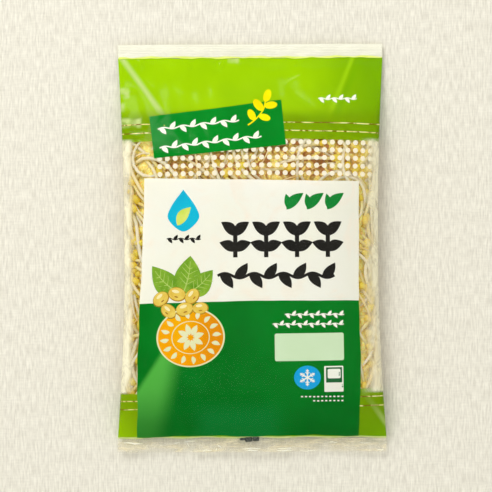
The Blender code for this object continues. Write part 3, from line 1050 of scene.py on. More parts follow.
def add_core(front, back):
    """The mass of sprouts beneath the outer ones, as one lumpy golden body."""
    draw = np.random.default_rng(CORE_SEED)
    s, y = np.meshgrid(side_heavy(90), np.linspace(*SPROUT_Y, 130))
    side = half_width(y)
    x = mix(LEFT_MARGIN + CORE_INSET - side, side - RIGHT_MARGIN - CORE_INSET, (s + 1) / 2)
    (high,) = front.blend(x, y, front.points[..., 2])
    (low,) = back.blend(x, y, back.points[..., 2])
    rim = smooth((1 - np.abs(s)) / 0.12)
    for from_end in (y - SPROUT_Y[0], SPROUT_Y[1] - y):
        rim = rim * smooth(from_end / 0.012)
    lumps = 0.0012 * ripples(x, y, draw, 16, 0.007, 0.016) * rim
    middle = mix(low, high, 0.5)
    top = np.stack([x, y, mix(middle, high, 0.66 * rim) + lumps], 2)
    bottom = np.stack([x, y, mix(middle, low, 0.62 * rim) - lumps], 2)
    slab_piece("sprout_mass", top, bottom, core_material())


def add_sprouts(front, back):
    """The sprouts, with all their stems in one piece and all their heads in another."""
    draw = np.random.default_rng(SPROUT_SEED)
    inside = Inside(front, back)
    points, radius = pack_sprouts(draw, inside)
    rings, sides = 22, 7
    paths = curve_through(points, rings)
    radii = np.maximum(curve_through(radius[..., None], rings)[..., 0], 0.0002)
    inside.keep(paths, radii)
    own = draw.uniform(0, 1, SPROUTS)
    verts, faces = tube_mesh(paths, radii, sides)
    stems = add_piece("sprout_stems", verts, faces, stem_material(), ("sprouts",))
    share = np.concatenate([np.repeat(np.linspace(0, 1, rings), sides), [0.0, 1.0]])
    set_along(stems, np.tile(share, SPROUTS), np.repeat(own, len(share)))
    tangent, across, up = carried_frames(paths)
    sizes = draw.uniform(*HEAD_LENGTH, SPROUTS)
    lean = draw.normal(0.0, 0.5, SPROUTS)[:, None]
    along = -tangent[:, 0] * np.cos(lean) + across[:, 0] * np.sin(lean)
    side = across[:, 0] * np.cos(lean) + tangent[:, 0] * np.sin(lean)
    roll = draw.uniform(0, math.pi, SPROUTS)[:, None]
    rolled_side = side * np.cos(roll) + up[:, 0] * np.sin(roll)
    rolled_up = up[:, 0] * np.cos(roll) - side * np.sin(roll)
    centres = paths[:, 0] + along * (sizes * 0.38)[:, None]
    inside.keep(centres, sizes * 0.34)
    verts, faces, share = head_mesh(centres, along, rolled_side, rolled_up, sizes)
    heads = add_piece("sprout_heads", verts, faces, head_material())
    set_along(heads, share, np.repeat(own, len(share) // SPROUTS))


# Film, seams and seals

def add_films(front, back):
    """The clear film in front and at the back."""
    film = clear_film("clear front film", 0.002, (255, 250, 218), (0.86, 0.78), 0.12)
    faces = grid_faces(FRONT_COLUMNS, FRONT_ROWS)
    add_piece("front_film", front.points, faces, film, ("film_front",))
    film = clear_film("clear back film", 0.12, (255, 252, 232), (0.20, 0.20))
    faces = grid_faces(BACK_COLUMNS, BACK_ROWS, flip=True)
    add_piece("back_film", back.points, faces, film, ("film_back",))


def slab_piece(name, top, bottom, material, replaces=()):
    """A closed thin piece between two grids of points."""
    high, wide = top.shape[:2]
    count = wide * high
    faces = grid_faces(wide, high).tolist() + grid_faces(wide, high, count, True).tolist()
    rim = list(range(wide)) + [j * wide + wide - 1 for j in range(1, high)]
    rim += [count - 1 - i for i in range(1, wide)] + [j * wide for j in range(high - 2, 0, -1)]
    for a, b in zip(rim, rim[1:] + rim[:1]):
        faces.append([b, a, a + count, b + count])
    verts = np.concatenate([top.reshape(-1, 3), bottom.reshape(-1, 3)])
    return add_piece(name, verts, faces, material, replaces)


def add_seals():
    """The crimped ends, with fine ribs across the bag."""
    draw = np.random.default_rng(SEAL_SEED)
    # The bottom seal's tint, darker and yellower than the top seal's, is painted shade for the lower end.
    looks = (
        ("seal_top", 1, (255, 254, 238), (0.74, 0.92), 0.00025),
        ("seal_bottom", -1, (248, 238, 206), (0.06, 0.62), 0.00050),
    )
    for name, end, tint, haze, unevenness in looks:
        material = seal_film(name.replace("_", " "), tint, *haze)
        s, t = np.meshgrid(np.linspace(-1, 1, SEAL_COLUMNS), np.linspace(0, 1, SEAL_ROWS))
        y = end * (INNER_END + t * SEAL_LENGTH)
        ribs = RIB_HEIGHT * np.sin(math.tau * t * SEAL_LENGTH / RIB_PITCH)
        ribs *= smooth(t / 0.08) * smooth((1 - t) / 0.05)
        x = s * half_width(end * INNER_END)
        soft = unevenness * smooth(t / 0.25) * ripples(0.5 * x, y, draw, 12, 0.004, 0.020)
        z = edge_height(s, end * INNER_END) + ribs + soft
        top = np.stack([x, y, z + FILM * 0.6], 2)
        bottom = np.stack([x, y, z - FILM * 0.6], 2)
        if end < 0:
            top, bottom = top[::-1], bottom[::-1]
        slab_piece(name + "_band", top, bottom, material, (name,))


def add_print_edge_highlights(film):
    """A painted highlight along the print's end: a pale uneven line on the top seal and just above the
    bottom seal.
    """
    pale = ink("print edge highlight", (248, 255, 150), (224, 242, 96), 120.0)
    s, t = np.meshgrid(np.linspace(-0.995, 0.995, 260), np.linspace(-0.5, 0.5, 3))
    wave = 0.0002 * (np.sin(9 * s + 1) + np.sin(31 * s)) + 0.0001 * np.sin(67 * s + 2)
    y = INNER_END + 0.0002 + wave + 0.0012 * t * (1 + 0.4 * np.sin(23 * s))
    z = edge_height(s, INNER_END) + 0.00045
    points = np.stack([s * half_width(INNER_END), y, z], 2)
    add_piece("top_print_edge_highlight", points, grid_faces(260, 3), pale)
    edge = band_shape(-0.1421, -0.1409, -INNER_END, 0.0, 0.0)
    faint = ink("faint print edge highlight", (240, 246, 176), (216, 232, 140), 160.0)
    print_piece("bottom_print_edge_highlight", [edge], film, DEPTH_LINE, faint)


def add_back_seam():
    """The welded flap under the back film, folded flat to one side."""
    looks = {"roughness": 0.20, "crinkle": (300, 0.00010)}
    material = clear_film("seam flap", 0.22, (255, 252, 242), **looks)
    s, y = np.meshgrid(np.linspace(*SEAM_S, 25), np.linspace(-INNER_END, INNER_END, 260))
    ceiling = np.minimum(back_height(s, y), back_height(SEAM_S[0], y))
    lines = 0.00004 * np.sin(math.tau * (s - SEAM_S[0]) / 0.010)
    top = np.stack([s * half_width(y), y, ceiling - 0.00011 + lines], 2)
    bottom = top - np.array([0.0, 0.0, SEAM_THICKNESS])
    slab_piece("back_seam_flap", top, bottom, material, ("back_seam",))


# Print. Depths inside the front film, from the nearest layer to the furthest.

DEPTH_LIGHT = 0.00004
DEPTH_NEAR = 0.00008
DEPTH_MARK = 0.00012
DEPTH_SHADE = 0.00014
DEPTH_ART = 0.00017
DEPTH_GREEN = 0.00021
DEPTH_PANEL = 0.00023
DEPTH_BAND = 0.00029
DEPTH_LINE = 0.00032

# Depths inside the back film
DEPTH_BACK = 0.00010
DEPTH_BACKING = 0.00016

WHITE = (255, 255, 244)
WHITE_DEEP = (253, 252, 236)
HEADER_EDGES = (0.0815, 0.0872, 0.0880, 0.0934, 0.0942, INNER_END - 0.0002)
HEADER_BOW = 0.045
FOOTER_EDGES = (-0.1412, -0.1190, -0.1182, -0.1124, -0.1116, -0.1063)
FOOTER_LEAN = 0.055
HEADER_STRIPES = (INNER_END, -HEADER_BOW, 0.0)
FOOTER_STRIPES = (-INNER_END, 0.0, FOOTER_LEAN)
DOT_PITCH = 0.00582
DOT_RADIUS = 0.00190
DOT_COLUMNS = (-12, 18)
DOT_ROWS = 5
DOT_TOP = 0.0790
DOT_PHASE = 0.37
DOT_MIDDLE_Y = 0.066
DOT_SIDE_MARGIN = 0.004
DOT_BOW = 0.0018


def band_shape(low, high, seal, bow, lean, step=0.0011):
    """A stripe right across the film. It bows and leans more the further it is from the seal."""
    s = side_heavy(int(BOTTOM_WIDTH / step))
    rows = max(2, int((high - low) / step) + 1)
    s, y = np.meshgrid(s, np.linspace(low, high, rows))
    y = y + (seal - y) * bow * s**2 + (y - seal) * lean * s
    y = y + 0.00035 * np.sin(17 * s + 1) * smooth((np.abs(y) - 0.130) / 0.01)
    y = np.clip(y, -INNER_END, INNER_END)
    return np.stack([(s * half_width(y)).ravel(), y.ravel()], 1), grid_faces(s.shape[1], rows)


def stripes(edges, seal, bow, lean):
    """Stripes right across the film, each between two of the edges in turn."""
    return [band_shape(low, high, seal, bow, lean) for low, high in zip(edges[::2], edges[1::2])]


def right_part(shader):
    """Share of shade on the bag's right, which turns away from the light."""
    return shader.scaled(shader.beyond((0.0250, 0.0), (0.0960, 0.0)), 0.0, 0.85)


def near_window(shader):
    """Share of shade where the lime print runs over the sprouts, at its ends by the window."""
    top = shader.beyond((0.0, 0.1060), (0.0, 0.0950))
    bottom = shader.beyond((0.0, -0.1450), (0.0, -0.1100))
    return shader.scaled(shader.times(top, bottom), 0.0, 0.90)


def slant_band(square, start, middle, end):
    """A way to find the share of a straight band. Its start, middle and end are distances from
    the bag's centre along square, the direction across the band."""
    square = np.array(square)

    def share(shader):
        return shader.times(*[shader.beyond(edge * square, middle * square) for edge in (start, end)])

    return share


# Patches of painted glare on the header, each as its low and high corner
HEADER_GLARE_PATCHES = [
    ((-0.0975, 0.1140), (-0.0920, 0.1185)),
    ((-0.0965, 0.0915), (-0.0830, 0.0955)),
    ((-0.0975, 0.1035), (-0.0955, 0.1070)),
    ((-0.0150, 0.1400), (-0.0100, 0.1430)),
]


def painted_header_glare(shader):
    """Share of painted glare: uneven pale patches where the header's film is creased and catches the
    light.
    """
    total = None
    for low, high in HEADER_GLARE_PATCHES:
        share = shader.patch(low, high, 0.0028)
        total = shader.maths("ADD", total, share) if total else share
    glare_breakup = shader.noise(150.0, 1.0, 0.5, 0.3)
    return shader.times(total, shader.scaled(glare_breakup, 0.1, 0.9, 0.35, 0.60))


def add_bands(film, where, depth):
    """The lime header and footer, each with two thin clear lines, and the back's white backing."""
    # Painted light and shade on the lime print: shade on the right; a painted highlight along the crease
    # at the top left; a lighter and a darker slanted band at the header's right, painted shading of its
    # waves; shade where the print runs over the sprouts; painted glare at the header's left edge.
    parts = [
        (right_part, (124, 184, 0)),
        (slant_band((0.812, 0.583), 0.0016, 0.0050, 0.0084), (220, 244, 154)),
        (slant_band((0.923, -0.386), 0.0125, 0.0160, 0.0185), (178, 230, 20)),
        (slant_band((0.923, -0.386), 0.0175, 0.0205, 0.0250), (136, 196, 0)),
        (near_window, (132, 178, 0)),
        (painted_header_glare, (226, 246, 160)),
    ]
    lime = ink(f"lime ink {where}", (186, 236, 2), (170, 222, 0), 26.0, 0.15, 0.30, (214, 238, 66), parts)
    header, footer = stripes(HEADER_EDGES, *HEADER_STRIPES), stripes(FOOTER_EDGES, *FOOTER_STRIPES)
    print_piece(f"lime_header_{where}", header, film, depth, lime)
    print_piece(f"lime_footer_{where}", footer, film, depth, lime)
    if where == "back":
        white = ink("white backing", (252, 250, 236), (246, 242, 220), 30.0)
        print_piece("white_backing", header + footer, film, DEPTH_BACKING, white)


def painted_gap_shade(shader):
    """Share of painted shade in the gaps between moist sprouts, seen in a narrow clear line."""
    return shader.scaled(shader.noise(230.0, 3.0, 0.6, 0.5), 0.0, 1.0, 0.47, 0.55)


def add_line_glints(film):
    """Moist sprouts seen in the clear lines of the header and footer: pale with painted glints, and
    painted shade in the gaps between them.
    """
    glints = ink("line glint", (255, 250, 190), (226, 214, 96), 300.0, parts=[(painted_gap_shade, (124, 96, 16))])
    shapes = stripes(HEADER_EDGES[1:-1], *HEADER_STRIPES) + stripes(FOOTER_EDGES[1:-1], *FOOTER_STRIPES)
    print_piece("line_glints", shapes, film, DEPTH_LINE, glints)


def add_dots(film):
    """White dots over the clear window, at one pitch along the film."""
    columns = np.linspace(-1, 1, 801)
    x = columns * half_width(DOT_MIDDLE_Y)
    z = front_height(columns, DOT_MIDDLE_Y)
    length = np.concatenate([[0], np.cumsum(np.hypot(np.diff(x), np.diff(z)))])
    length -= length[len(columns) // 2]
    shapes = []
    for row in range(DOT_ROWS):
        for column in range(*DOT_COLUMNS):
            run = (column + DOT_PHASE) * DOT_PITCH
            if run > length[-1] - DOT_SIDE_MARGIN:
                continue
            s = np.interp(run, length, columns)
            y = DOT_TOP - row * DOT_PITCH - DOT_BOW * s**2
            squeeze = np.interp(run + DOT_RADIUS, length, x) - np.interp(run - DOT_RADIUS, length, x)
            shapes.append(disc_shape((s * half_width(y), y), (squeeze / 2, DOT_RADIUS), step=0.0009))
    dots = ink("dot ink", (255, 251, 232), (254, 246, 218), 60.0, clear=0.10)
    print_piece("window_dots", shapes, film, DEPTH_PANEL, dots)


def light_cone(shader):
    """Share of light on the bag's lower left, where the film stands away from the sprouts."""
    left = shader.beyond((-0.0698, -0.0778), (-0.0655, -0.0806))
    right = shader.beyond((-0.0520, -0.1010), (-0.0690, -0.0975))
    low = shader.scaled(shader.beyond((0.0, -0.1400), (0.0, -0.1000)), 0.36, 1.0)
    return shader.times(left, right, low)


def low_light(shader):
    """Share of a faint light above the eye mark."""
    return shader.patch((-0.0300, -0.1400), (0.0100, -0.1280), 0.0200)


def blotches(shader):
    """Share of a faint golden tone where sprouts press on the label from beneath."""
    return shader.scaled(shader.noise(48.0, 3.0, 0.6, 1.0), 0.0, 0.55, 0.52, 0.72)


def add_panels(film):
    """The white label, the green panel below it and the tilted banner above it."""
    label = [(-0.0829, -0.0410), (0.0795, -0.0396), (0.0800, 0.0492), (-0.0790, 0.0520)]
    label = panel_shape(label, (0.0, 0.0, 0.0, -0.0005), (0, 0.0001, 0.0001, 0.0002))
    parts = [(right_part, (242, 242, 226)), (blotches, (254, 240, 220))]
    white = ink("label ink", (252, 252, 243), (250, 250, 232), 14.0, parts=parts)
    print_piece("white_label", [label], film, DEPTH_PANEL, white)
    panel = [(-0.0858, -0.1412), (0.0793, -0.1408), (0.0795, -0.0392), (-0.0831, -0.0411)]
    panel = panel_shape(panel, (-0.0004, 0.0012, 0.0012, 0.0004), (0.0004, 0.0002, 0.0001, 0.0003))
    parts = [(light_cone, (86, 184, 70)), (low_light, (10, 134, 50))]
    green = ink("green ink", (2, 131, 34), (0, 112, 24), 24.0, parts=parts)
    print_piece("green_panel", [panel], film, DEPTH_GREEN, green)
    banner = panel_shape([(-0.0716, 0.0669), (0.0261, 0.0766), (0.0229, 0.1108), (-0.0754, 0.0982)])
    banner_ink = ink("banner ink", (2, 146, 38), (0, 132, 32), 30.0)
    print_piece("tilted_banner", [banner], film, DEPTH_ART, banner_ink)


RIGHTWARD = np.array([1.0, 0.0])


def vine(start, count, pitch, reach, along=RIGHTWARD):
    """A wavy stalk with leaves to its left and right in turn."""
    square = left_of(along)
    run = np.linspace(0, count * pitch, count * 6 + 1)
    wave = 0.14 * reach * np.sin(math.pi * run / pitch)
    line = np.array(start) + run[:, None] * along + wave[:, None] * square
    shapes = [stroke_shape(line, 0.16 * reach)]
    for k in range(count):
        base = line[k * 6 + 1]
        side = 1 if k % 2 else -1
        tip = base + reach * (0.75 * along + side * 0.80 * square)
        shapes.append(leaf_shape(base, tip, 0.55 * reach, -side * 0.10 * reach))
    return shapes


def add_banner_vine(film):
    """Two rows of small white leaves on wavy stalks, along the banner."""
    along = np.array([0.0977, 0.0110]) / math.hypot(0.0977, 0.0110)
    shapes = []
    for start, count in (((-0.0690, 0.0885), 8), ((-0.0675, 0.0745), 10)):
        shapes += vine(start, count, 0.0076, 0.0062, along)
    print_piece("banner_vine", shapes, film, DEPTH_MARK, ink("vine ink", WHITE, WHITE_DEEP))


# Each leaf's place on the stalk, its direction and half its length
SPRIG_LEAVES = [
    (3, 2.05, 0.0046),
    (5, -0.25, 0.0044),
    (7, 2.25, 0.0052),
    (9, 0.15, 0.0048),
    (11, 1.25, 0.0050),
]


def add_leaf_sprig(film):
    """A yellow sprig at the banner's right end: round leaves on a curved stalk."""
    yellow = ink("yellow ink", (255, 248, 6), (255, 228, 0), 90.0)
    stalk = curve_line([(-0.0020, 0.0915), (0.0040, 0.0960), (0.0095, 0.1030), (0.0110, 0.1090)], 12)
    shapes = [stroke_shape(stalk, 0.0010)]
    for k, turn, size in SPRIG_LEAVES:
        centre = stalk[k] + size * outward(turn)
        shapes.append(disc_shape(centre, (size, 0.58 * size), turn, step=0.0009))
    print_piece("leaf_sprig", shapes, film, DEPTH_MARK, yellow)


def badge_right(shader):
    """Share of deeper orange towards the badge's right."""
    return shader.beyond((-0.0560, 0.0), (-0.0240, 0.0))


def add_badge(film):
    """Orange oval with a pale rim, a thin inner ring, a rosette and a ring of small leaves."""
    centre, radii, turn = np.array([-0.0452, -0.0658]), (0.0254, 0.0219), 0.10
    orange = ink("orange ink", (255, 184, 0), (255, 162, 0), 30.0, parts=[(badge_right, (236, 148, 6))])
    print_piece("badge_disc", [disc_shape(centre, radii, turn)], film, DEPTH_ART, orange)
    shapes = [disc_shape(centre, radii, turn, 0.953, 0.0008)]
    shapes.append(disc_shape(centre, (0.0142, 0.0122), turn, 0.955, 0.0008))
    spin = np.array([outward(turn), outward(turn + math.pi / 2)])
    for k in range(16):
        out = outward(math.tau * k / 16)
        inner, outer = centre + (out * (0.0162, 0.0139)) @ spin, centre + (out * (0.0230, 0.0199)) @ spin
        shapes.append(leaf_shape(inner, outer, 0.0032, 0.0006))
    for k in range(8):
        out = outward(math.tau * k / 8 + 0.3)
        shapes.append(leaf_shape(centre + 0.0018 * out, centre + 0.0104 * out, 0.0042))
    cream = ink("cream ink", (240, 240, 196), (230, 232, 172))
    print_piece("badge_lines", shapes, film, DEPTH_MARK, cream)


def snowflake(middle, size):
    """Six straight arms, each with a pair of twigs."""
    middle = np.array(middle)
    shapes = []
    for k in range(6):
        out = outward(math.tau * k / 6 + math.pi / 6)
        square = left_of(out)
        shapes.append(stroke_shape([middle, middle + size * out], size * 0.15))
        for share, length in ((0.45, 0.30), (0.72, 0.22)):
            for side in (-1, 1):
                root = middle + share * size * out
                end = root + length * size * (0.6 * out + 0.8 * side * square)
                shapes.append(stroke_shape([root, end], size * 0.11))
    return shapes


def add_small_marks(film):
    """The pale box, the disc with a snowflake, and a small tag with a frame and a window."""
    box = outline_shape(rounded_box((0.0170, -0.0834), (0.0681, -0.0630), 0.0014, 0.008))
    pale = ink("pale green ink", (218, 240, 202), (212, 236, 194))
    print_piece("pale_box", [box], film, DEPTH_ART, pale)
    blue = ink("blue ink", (34, 178, 238), (26, 168, 230))
    print_piece("blue_disc", [disc_shape((0.0410, -0.0959), (0.0099, 0.0089))], film, DEPTH_ART, blue)
    white = ink("mark white ink", WHITE, WHITE_DEEP)
    print_piece("snow_mark", snowflake((0.0410, -0.0959), 0.0062), film, DEPTH_MARK, white)
    green = ink("tag green ink", (40, 112, 62), (34, 100, 54))
    boxes = (
        ("small_tag", (0.0535, -0.1067), (0.0677, -0.0874), 0.0006, DEPTH_ART, white),
        ("tag_frame", (0.0548, -0.0997), (0.0667, -0.0884), 0.0004, DEPTH_MARK, green),
        ("tag_window", (0.0560, -0.0966), (0.0655, -0.0896), 0.0010, DEPTH_NEAR, white),
    )
    for name, low, high, radius, depth, colour in boxes:
        print_piece(name, [outline_shape(rounded_box(low, high, radius, 0.012))], film, depth, colour)


# Each leaf's base, tip, width and bend, and each bean's middle, size and turn
PICTURE_LEAVES = [
    ((-0.0520, -0.0340), (-0.0735, -0.0130), 0.0175, 0.0022),
    ((-0.0510, -0.0340), (-0.0450, -0.0055), 0.0200, -0.0016),
    ((-0.0490, -0.0340), (-0.0285, -0.0160), 0.0160, -0.0020),
]
PICTURE_BEANS = [
    (-0.0672, -0.0372, 0.0064, 0.7),
    (-0.0552, -0.0336, 0.0066, -0.2),
    (-0.0440, -0.0352, 0.0062, 0.9),
    (-0.0615, -0.0462, 0.0062, -0.7),
    (-0.0496, -0.0448, 0.0066, 0.3),
    (-0.0380, -0.0440, 0.0058, 0.1),
]


def add_bean_picture(film):
    """Broad green leaves behind a handful of round yellow beans, on the lower left of the label."""
    outlines, ribs = [], []
    for base, tip, width, bend in PICTURE_LEAVES:
        outline, midrib = leaf_lines(base, tip, width, bend, 0.42)
        outlines.append(outline_shape(outline))
        ribs.append(stroke_shape(midrib[:-2], np.linspace(0.0010, 0.0003, len(midrib) - 2)))
        along = np.array(tip) - np.array(base)
        along = along / np.linalg.norm(along)
        for k in (4, 6, 8, 10):
            for side in (-1, 1):
                end = midrib[k] + 0.30 * width * (0.75 * along + side * left_of(along))
                ribs.append(stroke_shape([midrib[k], end], (0.0005, 0.0002)))
    green = ink("leaf ink", (150, 190, 60), (104, 158, 36), 130.0)
    print_piece("picture_leaves", outlines, film, DEPTH_ART, green)
    rib = ink("leaf rib ink", (196, 220, 120), (180, 208, 100), 90.0)
    print_piece("picture_ribs", ribs, film, DEPTH_MARK, rib)
    shades, bodies, lights, scars = [], [], [], []
    for x, y, size, turn in PICTURE_BEANS:
        shades.append(disc_shape((x + 0.0002, y - 0.0003), (size * 1.03, size * 0.80), turn, step=0.0008))
        bodies.append(disc_shape((x, y), (size * 0.94, size * 0.71), turn, step=0.0008))
        place = np.array([x - 0.14 * size, y + 0.28 * size])
        lights.append(disc_shape(place, (size * 0.42, size * 0.18), turn, step=0.0007))
        scar = np.array([x, y]) - 0.34 * size * outward(turn + math.pi / 2)
        scars.append(disc_shape(scar, (size * 0.22, size * 0.07), turn, step=0.0007))
    shade = ink("bean shade ink", (190, 146, 40), (172, 126, 30))
    print_piece("bean_shades", shades, film, DEPTH_SHADE, shade)
    bean = ink("bean ink", (244, 218, 104), (230, 192, 70), 160.0)
    print_piece("bean_bodies", bodies, film, DEPTH_NEAR, bean)
    light = ink("bean light ink", (254, 244, 190), (252, 238, 168))
    print_piece("bean_lights", lights, film, DEPTH_LIGHT, light)
    brown = ink("bean scar ink", (176, 120, 40), (160, 104, 32))
    print_piece("bean_scars", scars, film, DEPTH_LIGHT, brown)


def seedling(base, height):
    """A bold seedling: a stalk with a broad and a smaller pair of leaves."""
    base, up = np.array(base), np.array([0.0, height])
    shapes = [stroke_shape([base, base + 0.45 * up, base + 0.80 * up], 0.11 * height)]
    for start, turn, length in ((0.16, 0.50, 0.46), (0.55, 0.78, 0.50)):
        root = base + start * up
        for angle, bend in ((turn, 0.05), (math.pi - turn, -0.05)):
            tip = root + length * height * outward(angle)
            shapes.append(leaf_shape(root, tip, 0.27 * height, bend * height))
    return shapes


def add_label_ornaments(film):
    """Plain ornaments on the label: bold seedlings over a row of leaves, with green leaves above
    them and a drop with a row of small leaves at their left."""
    charcoal = ink("charcoal ink", (42, 40, 36), (32, 31, 28), 50.0)
    shapes = []
    for k in range(4):
        shapes += seedling((-0.0118 + 0.0228 * k, -0.0068), 0.0290)
    print_piece("seedlings", shapes, film, DEPTH_ART, charcoal)
    shapes = vine((-0.0250, -0.0203), 8, 0.0108, 0.0128) + vine((-0.0625, 0.0070), 6, 0.0042, 0.0044)
    print_piece("leaf_ornament", shapes, film, DEPTH_ART, charcoal)
    shapes = []
    for k in range(3):
        x = 0.0262 + 0.0150 * k
        shapes.append(leaf_shape((x, 0.0284), (x + 0.0125, 0.0405), 0.0074, 0.0012))
        shapes.append(leaf_shape((x + 0.0010, 0.0290), (x - 0.0005, 0.0400), 0.0050, -0.0006))
    green = ink("ornament green ink", (26, 146, 60), (18, 132, 50))
    print_piece("green_leaves", shapes, film, DEPTH_ART, green)
    drop = [(-0.0500, 0.0435), (-0.0590, 0.0310), (-0.0612, 0.0215), (-0.0500, 0.0125)]
    drop += [(-0.0388, 0.0215), (-0.0410, 0.0310), (-0.0500, 0.0435)]
    teal = ink("teal ink", (20, 198, 226), (16, 180, 218))
    print_piece("water_drop", [outline_shape(curve_line(drop, 40)[:-1])], film, DEPTH_ART, teal)
    leaf = leaf_shape((-0.0545, 0.0170), (-0.0445, 0.0305), 0.0078, 0.0012)
    pale = ink("drop leaf ink", (232, 240, 120), (214, 230, 90), 120.0)
    print_piece("drop_leaf", [leaf], film, DEPTH_MARK, pale)


def add_fine_marks(film):
    """Small white marks: rows of leaves and of dots on the green panel, and leaves on the header."""
    white = ink("fine mark ink", WHITE, WHITE_DEEP)
    shapes = vine((0.0245, -0.0492), 10, 0.0044, 0.0040) + vine((0.0155, -0.0563), 12, 0.0044, 0.0040)
    for start, y, count in ((0.0370, -0.1102, 11), (0.0460, -0.1134, 8)):
        for k in range(count):
            shapes.append(disc_shape((start + 0.0030 * k, y), (0.0009, 0.0006), step=0.0006))
    shapes += vine((0.0505, 0.1112), 6, 0.0048, 0.0046)
    print_piece("fine_marks", shapes, film, DEPTH_MARK, white)


MARK_ABOVE_SEAL = 0.00095


def seal_marks(name, shapes, material):
    """Flat marks a little above the front of the bottom seal."""

    def on_seal(points):
        z = edge_height(points[:, 0] / half_width(-INNER_END), -INNER_END) + MARK_ABOVE_SEAL
        return np.column_stack([points, z])

    verts, faces = joined(shapes, on_seal)
    add_piece(name, verts, faces, material)


def add_eye_mark():
    """Dark patches in the bottom seal, under the print's edge."""
    patches = [
        ((-0.0094, -0.1437), (-0.0040, -0.1418)),
        ((-0.0054, -0.1448), (0.0002, -0.1413)),
        ((0.0004, -0.1444), (0.0052, -0.1407)),
    ]
    shapes = [outline_shape(rounded_box(low, high, 0.0009, 0.05), 0.0008) for low, high in patches]
    seal_marks("eye_mark", shapes, ink("eye mark ink", (112, 116, 108), (14, 18, 20), 420.0))


# Start and end of each glint, and its width in the middle
SEAL_GLINTS = [
    ((-0.0408, -0.1516), (-0.0300, -0.1512), 0.0010),
    ((-0.0272, -0.1512), (-0.0262, -0.1496), 0.0009),
    ((-0.0262, -0.1469), (-0.0228, -0.1494), 0.0006),
    ((-0.0505, -0.1446), (-0.0420, -0.1441), 0.0007),
    ((-0.0492, -0.1450), (-0.0470, -0.1486), 0.0005),
    ((-0.0590, -0.1458), (-0.0540, -0.1452), 0.0005),
    ((-0.0075, -0.1500), (0.0060, -0.1497), 0.0008),
    ((-0.0050, -0.1514), (0.0045, -0.1511), 0.0010),
    ((0.0190, -0.1502), (0.0295, -0.1499), 0.0008),
    ((0.0186, -0.1517), (0.0300, -0.1515), 0.0009),
    ((0.0355, -0.1519), (0.0480, -0.1520), 0.0005),
    ((0.0560, -0.1454), (0.0640, -0.1457), 0.0005),
    ((0.0805, -0.1460), (0.0880, -0.1463), 0.0005),
    ((0.0935, -0.1512), (0.0985, -0.1513), 0.0006),
    ((-0.0960, -0.1450), (-0.0820, -0.1462), 0.0010),
]


def add_seal_glints():
    """Small bright glints where the crimped film of the bottom seal catches the light."""
    shapes = []
    for start, end, width in SEAL_GLINTS:
        share = np.linspace(0, 1, 12)
        line = np.outer(1 - share, start) + np.outer(share, end)
        line[:, 1] += 0.0002 * np.sin(9 * share + 400 * start[0])
        shapes.append(stroke_shape(line, width * np.sin(math.pi * np.clip(share, 0.04, 0.96)) ** 0.6))
    white = ink("seal glint", (255, 255, 246), (250, 248, 218), 300.0, clear=0.15, tint=(255, 255, 255))
    seal_marks("seal_glints", shapes, white)


# Room, light and camera

def add_area_light(name, place, size, power):
    """A lamp that faces the bag."""
    data = bpy.data.lights.new(name, "AREA")
    data.shape = "RECTANGLE"
    data.size, data.size_y = size
    data.energy = power
    light = bpy.data.objects.new(name, data)
    bpy.context.scene.collection.objects.link(light)
    light.location = place
    light.rotation_euler = (-Vector(place)).to_track_quat("-Z", "Y").to_euler()


# Brightness of the room by height, from 0 at the horizon to 1 overhead
ROOM_LIGHT = [(0.0, 0.45), (0.40, 0.90), (0.62, 0.78), (0.92, 0.04)]


def add_world():
    """A pale room that is bright at the sides and dim overhead."""
    world = bpy.data.worlds.new("soft room")
    bpy.context.scene.world = world
    world.use_nodes = True
    tree = world.node_tree
    place = tree.nodes.new("ShaderNodeTexCoord")
    parts = tree.nodes.new("ShaderNodeSeparateXYZ")
    tree.links.new(place.outputs["Generated"], parts.inputs["Vector"])
    strength = tree.nodes.new("ShaderNodeValToRGB")
    elements = strength.color_ramp.elements
    while len(elements) < len(ROOM_LIGHT):
        elements.new(0.5)
    for element, (height, value) in zip(elements, ROOM_LIGHT):
        element.position = height
        element.color = (value, value, value, 1.0)
    tree.links.new(parts.outputs["Z"], strength.inputs["Fac"])
    background = tree.nodes["Background"]
    background.inputs["Color"].default_value = (1.0, 0.99, 0.96, 1.0)
    tree.links.new(strength.outputs["Color"], background.inputs["Strength"])


CLOTH_TONES = [(0.28, (218, 213, 197)), (0.72, (244, 240, 224))]
CLOTH_FAINT = [(0.28, (246, 246, 246)), (0.72, (255, 255, 255))]


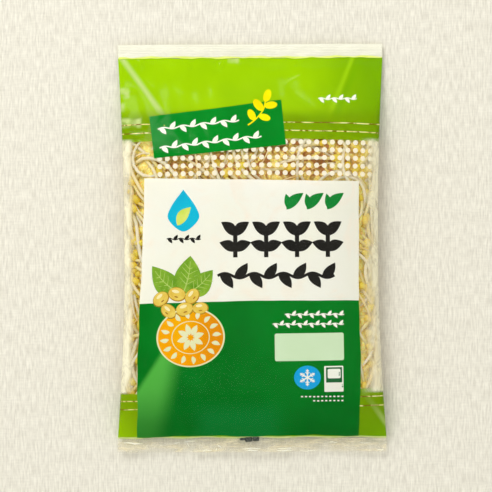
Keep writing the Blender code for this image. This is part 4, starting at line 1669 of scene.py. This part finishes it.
def add_room():
    """A pale cloth with fine threads, lit by a key light beyond the bag's top left and a broad
    soft light overhead."""
    mesh = bpy.data.meshes.new("floor")
    mesh.from_pydata([(-2, -2, 0), (2, -2, 0), (2, 2, 0), (-2, 2, 0)], [], [(0, 1, 2, 3)])
    shader = Shader("pale floor")
    body = shader.principled(0.85)
    warp = shader.ramp(shader.noise(800.0, 2.0, 0.5, 0.0, (1, 0.14, 1)), CLOTH_TONES)
    weft = shader.ramp(shader.noise(800.0, 2.0, 0.5, 0.0, (0.14, 1, 1)), CLOTH_FAINT)
    shader.join(shader.product(warp, weft), body.inputs["Base Color"])
    mesh.materials.append(shader.finish(body.outputs[0]))
    floor = bpy.data.objects.new("floor", mesh)
    floor.location.z = -0.0004
    bpy.context.scene.collection.objects.link(floor)
    add_world()
    add_area_light("key", (-0.75, 1.45, 1.45), (0.9, 0.9), 25.0)
    add_area_light("overhead", (0.2, -0.4, 2.3), (2.6, 2.6), 23.0)
    bpy.context.scene.view_settings.view_transform = "Standard"


CAMERA_HEIGHT = 2.0
METRES_PER_PIXEL = 0.0007485
IMAGE_SIZE = 492
BAG_CENTRE_PIXEL = (251.2, 248.1)
ROLL = math.radians(0.3)
SENSOR = 0.036


def add_camera():
    """Straight above the bag, which lies a little right of the middle of the picture."""
    data = bpy.data.cameras.new("camera")
    data.sensor_width = SENSOR * 1000
    data.lens = 1000 * SENSOR * (CAMERA_HEIGHT - SEAL_HEIGHT) / (IMAGE_SIZE * METRES_PER_PIXEL)
    camera = bpy.data.objects.new("camera", data)
    bpy.context.scene.collection.objects.link(camera)
    across = (IMAGE_SIZE / 2 - BAG_CENTRE_PIXEL[0]) * METRES_PER_PIXEL
    along = (BAG_CENTRE_PIXEL[1] - IMAGE_SIZE / 2) * METRES_PER_PIXEL
    camera.location = (across, along, CAMERA_HEIGHT)
    camera.rotation_euler = (0.0, 0.0, -ROLL)
    bpy.context.scene.camera = camera


def main():
    front, back = make_films()
    add_films(front, back)
    add_seals()
    add_print_edge_highlights(front)
    add_back_seam()
    add_bands(front, "front", DEPTH_BAND)
    add_bands(back, "back", DEPTH_BACK)
    add_line_glints(front)
    add_dots(front)
    add_panels(front)
    add_banner_vine(front)
    add_leaf_sprig(front)
    add_badge(front)
    add_small_marks(front)
    add_bean_picture(front)
    add_label_ornaments(front)
    add_fine_marks(front)
    add_eye_mark()
    add_seal_glints()
    add_sprouts(front, back)
    add_core(front, back)
    add_room()
    add_camera()


main()
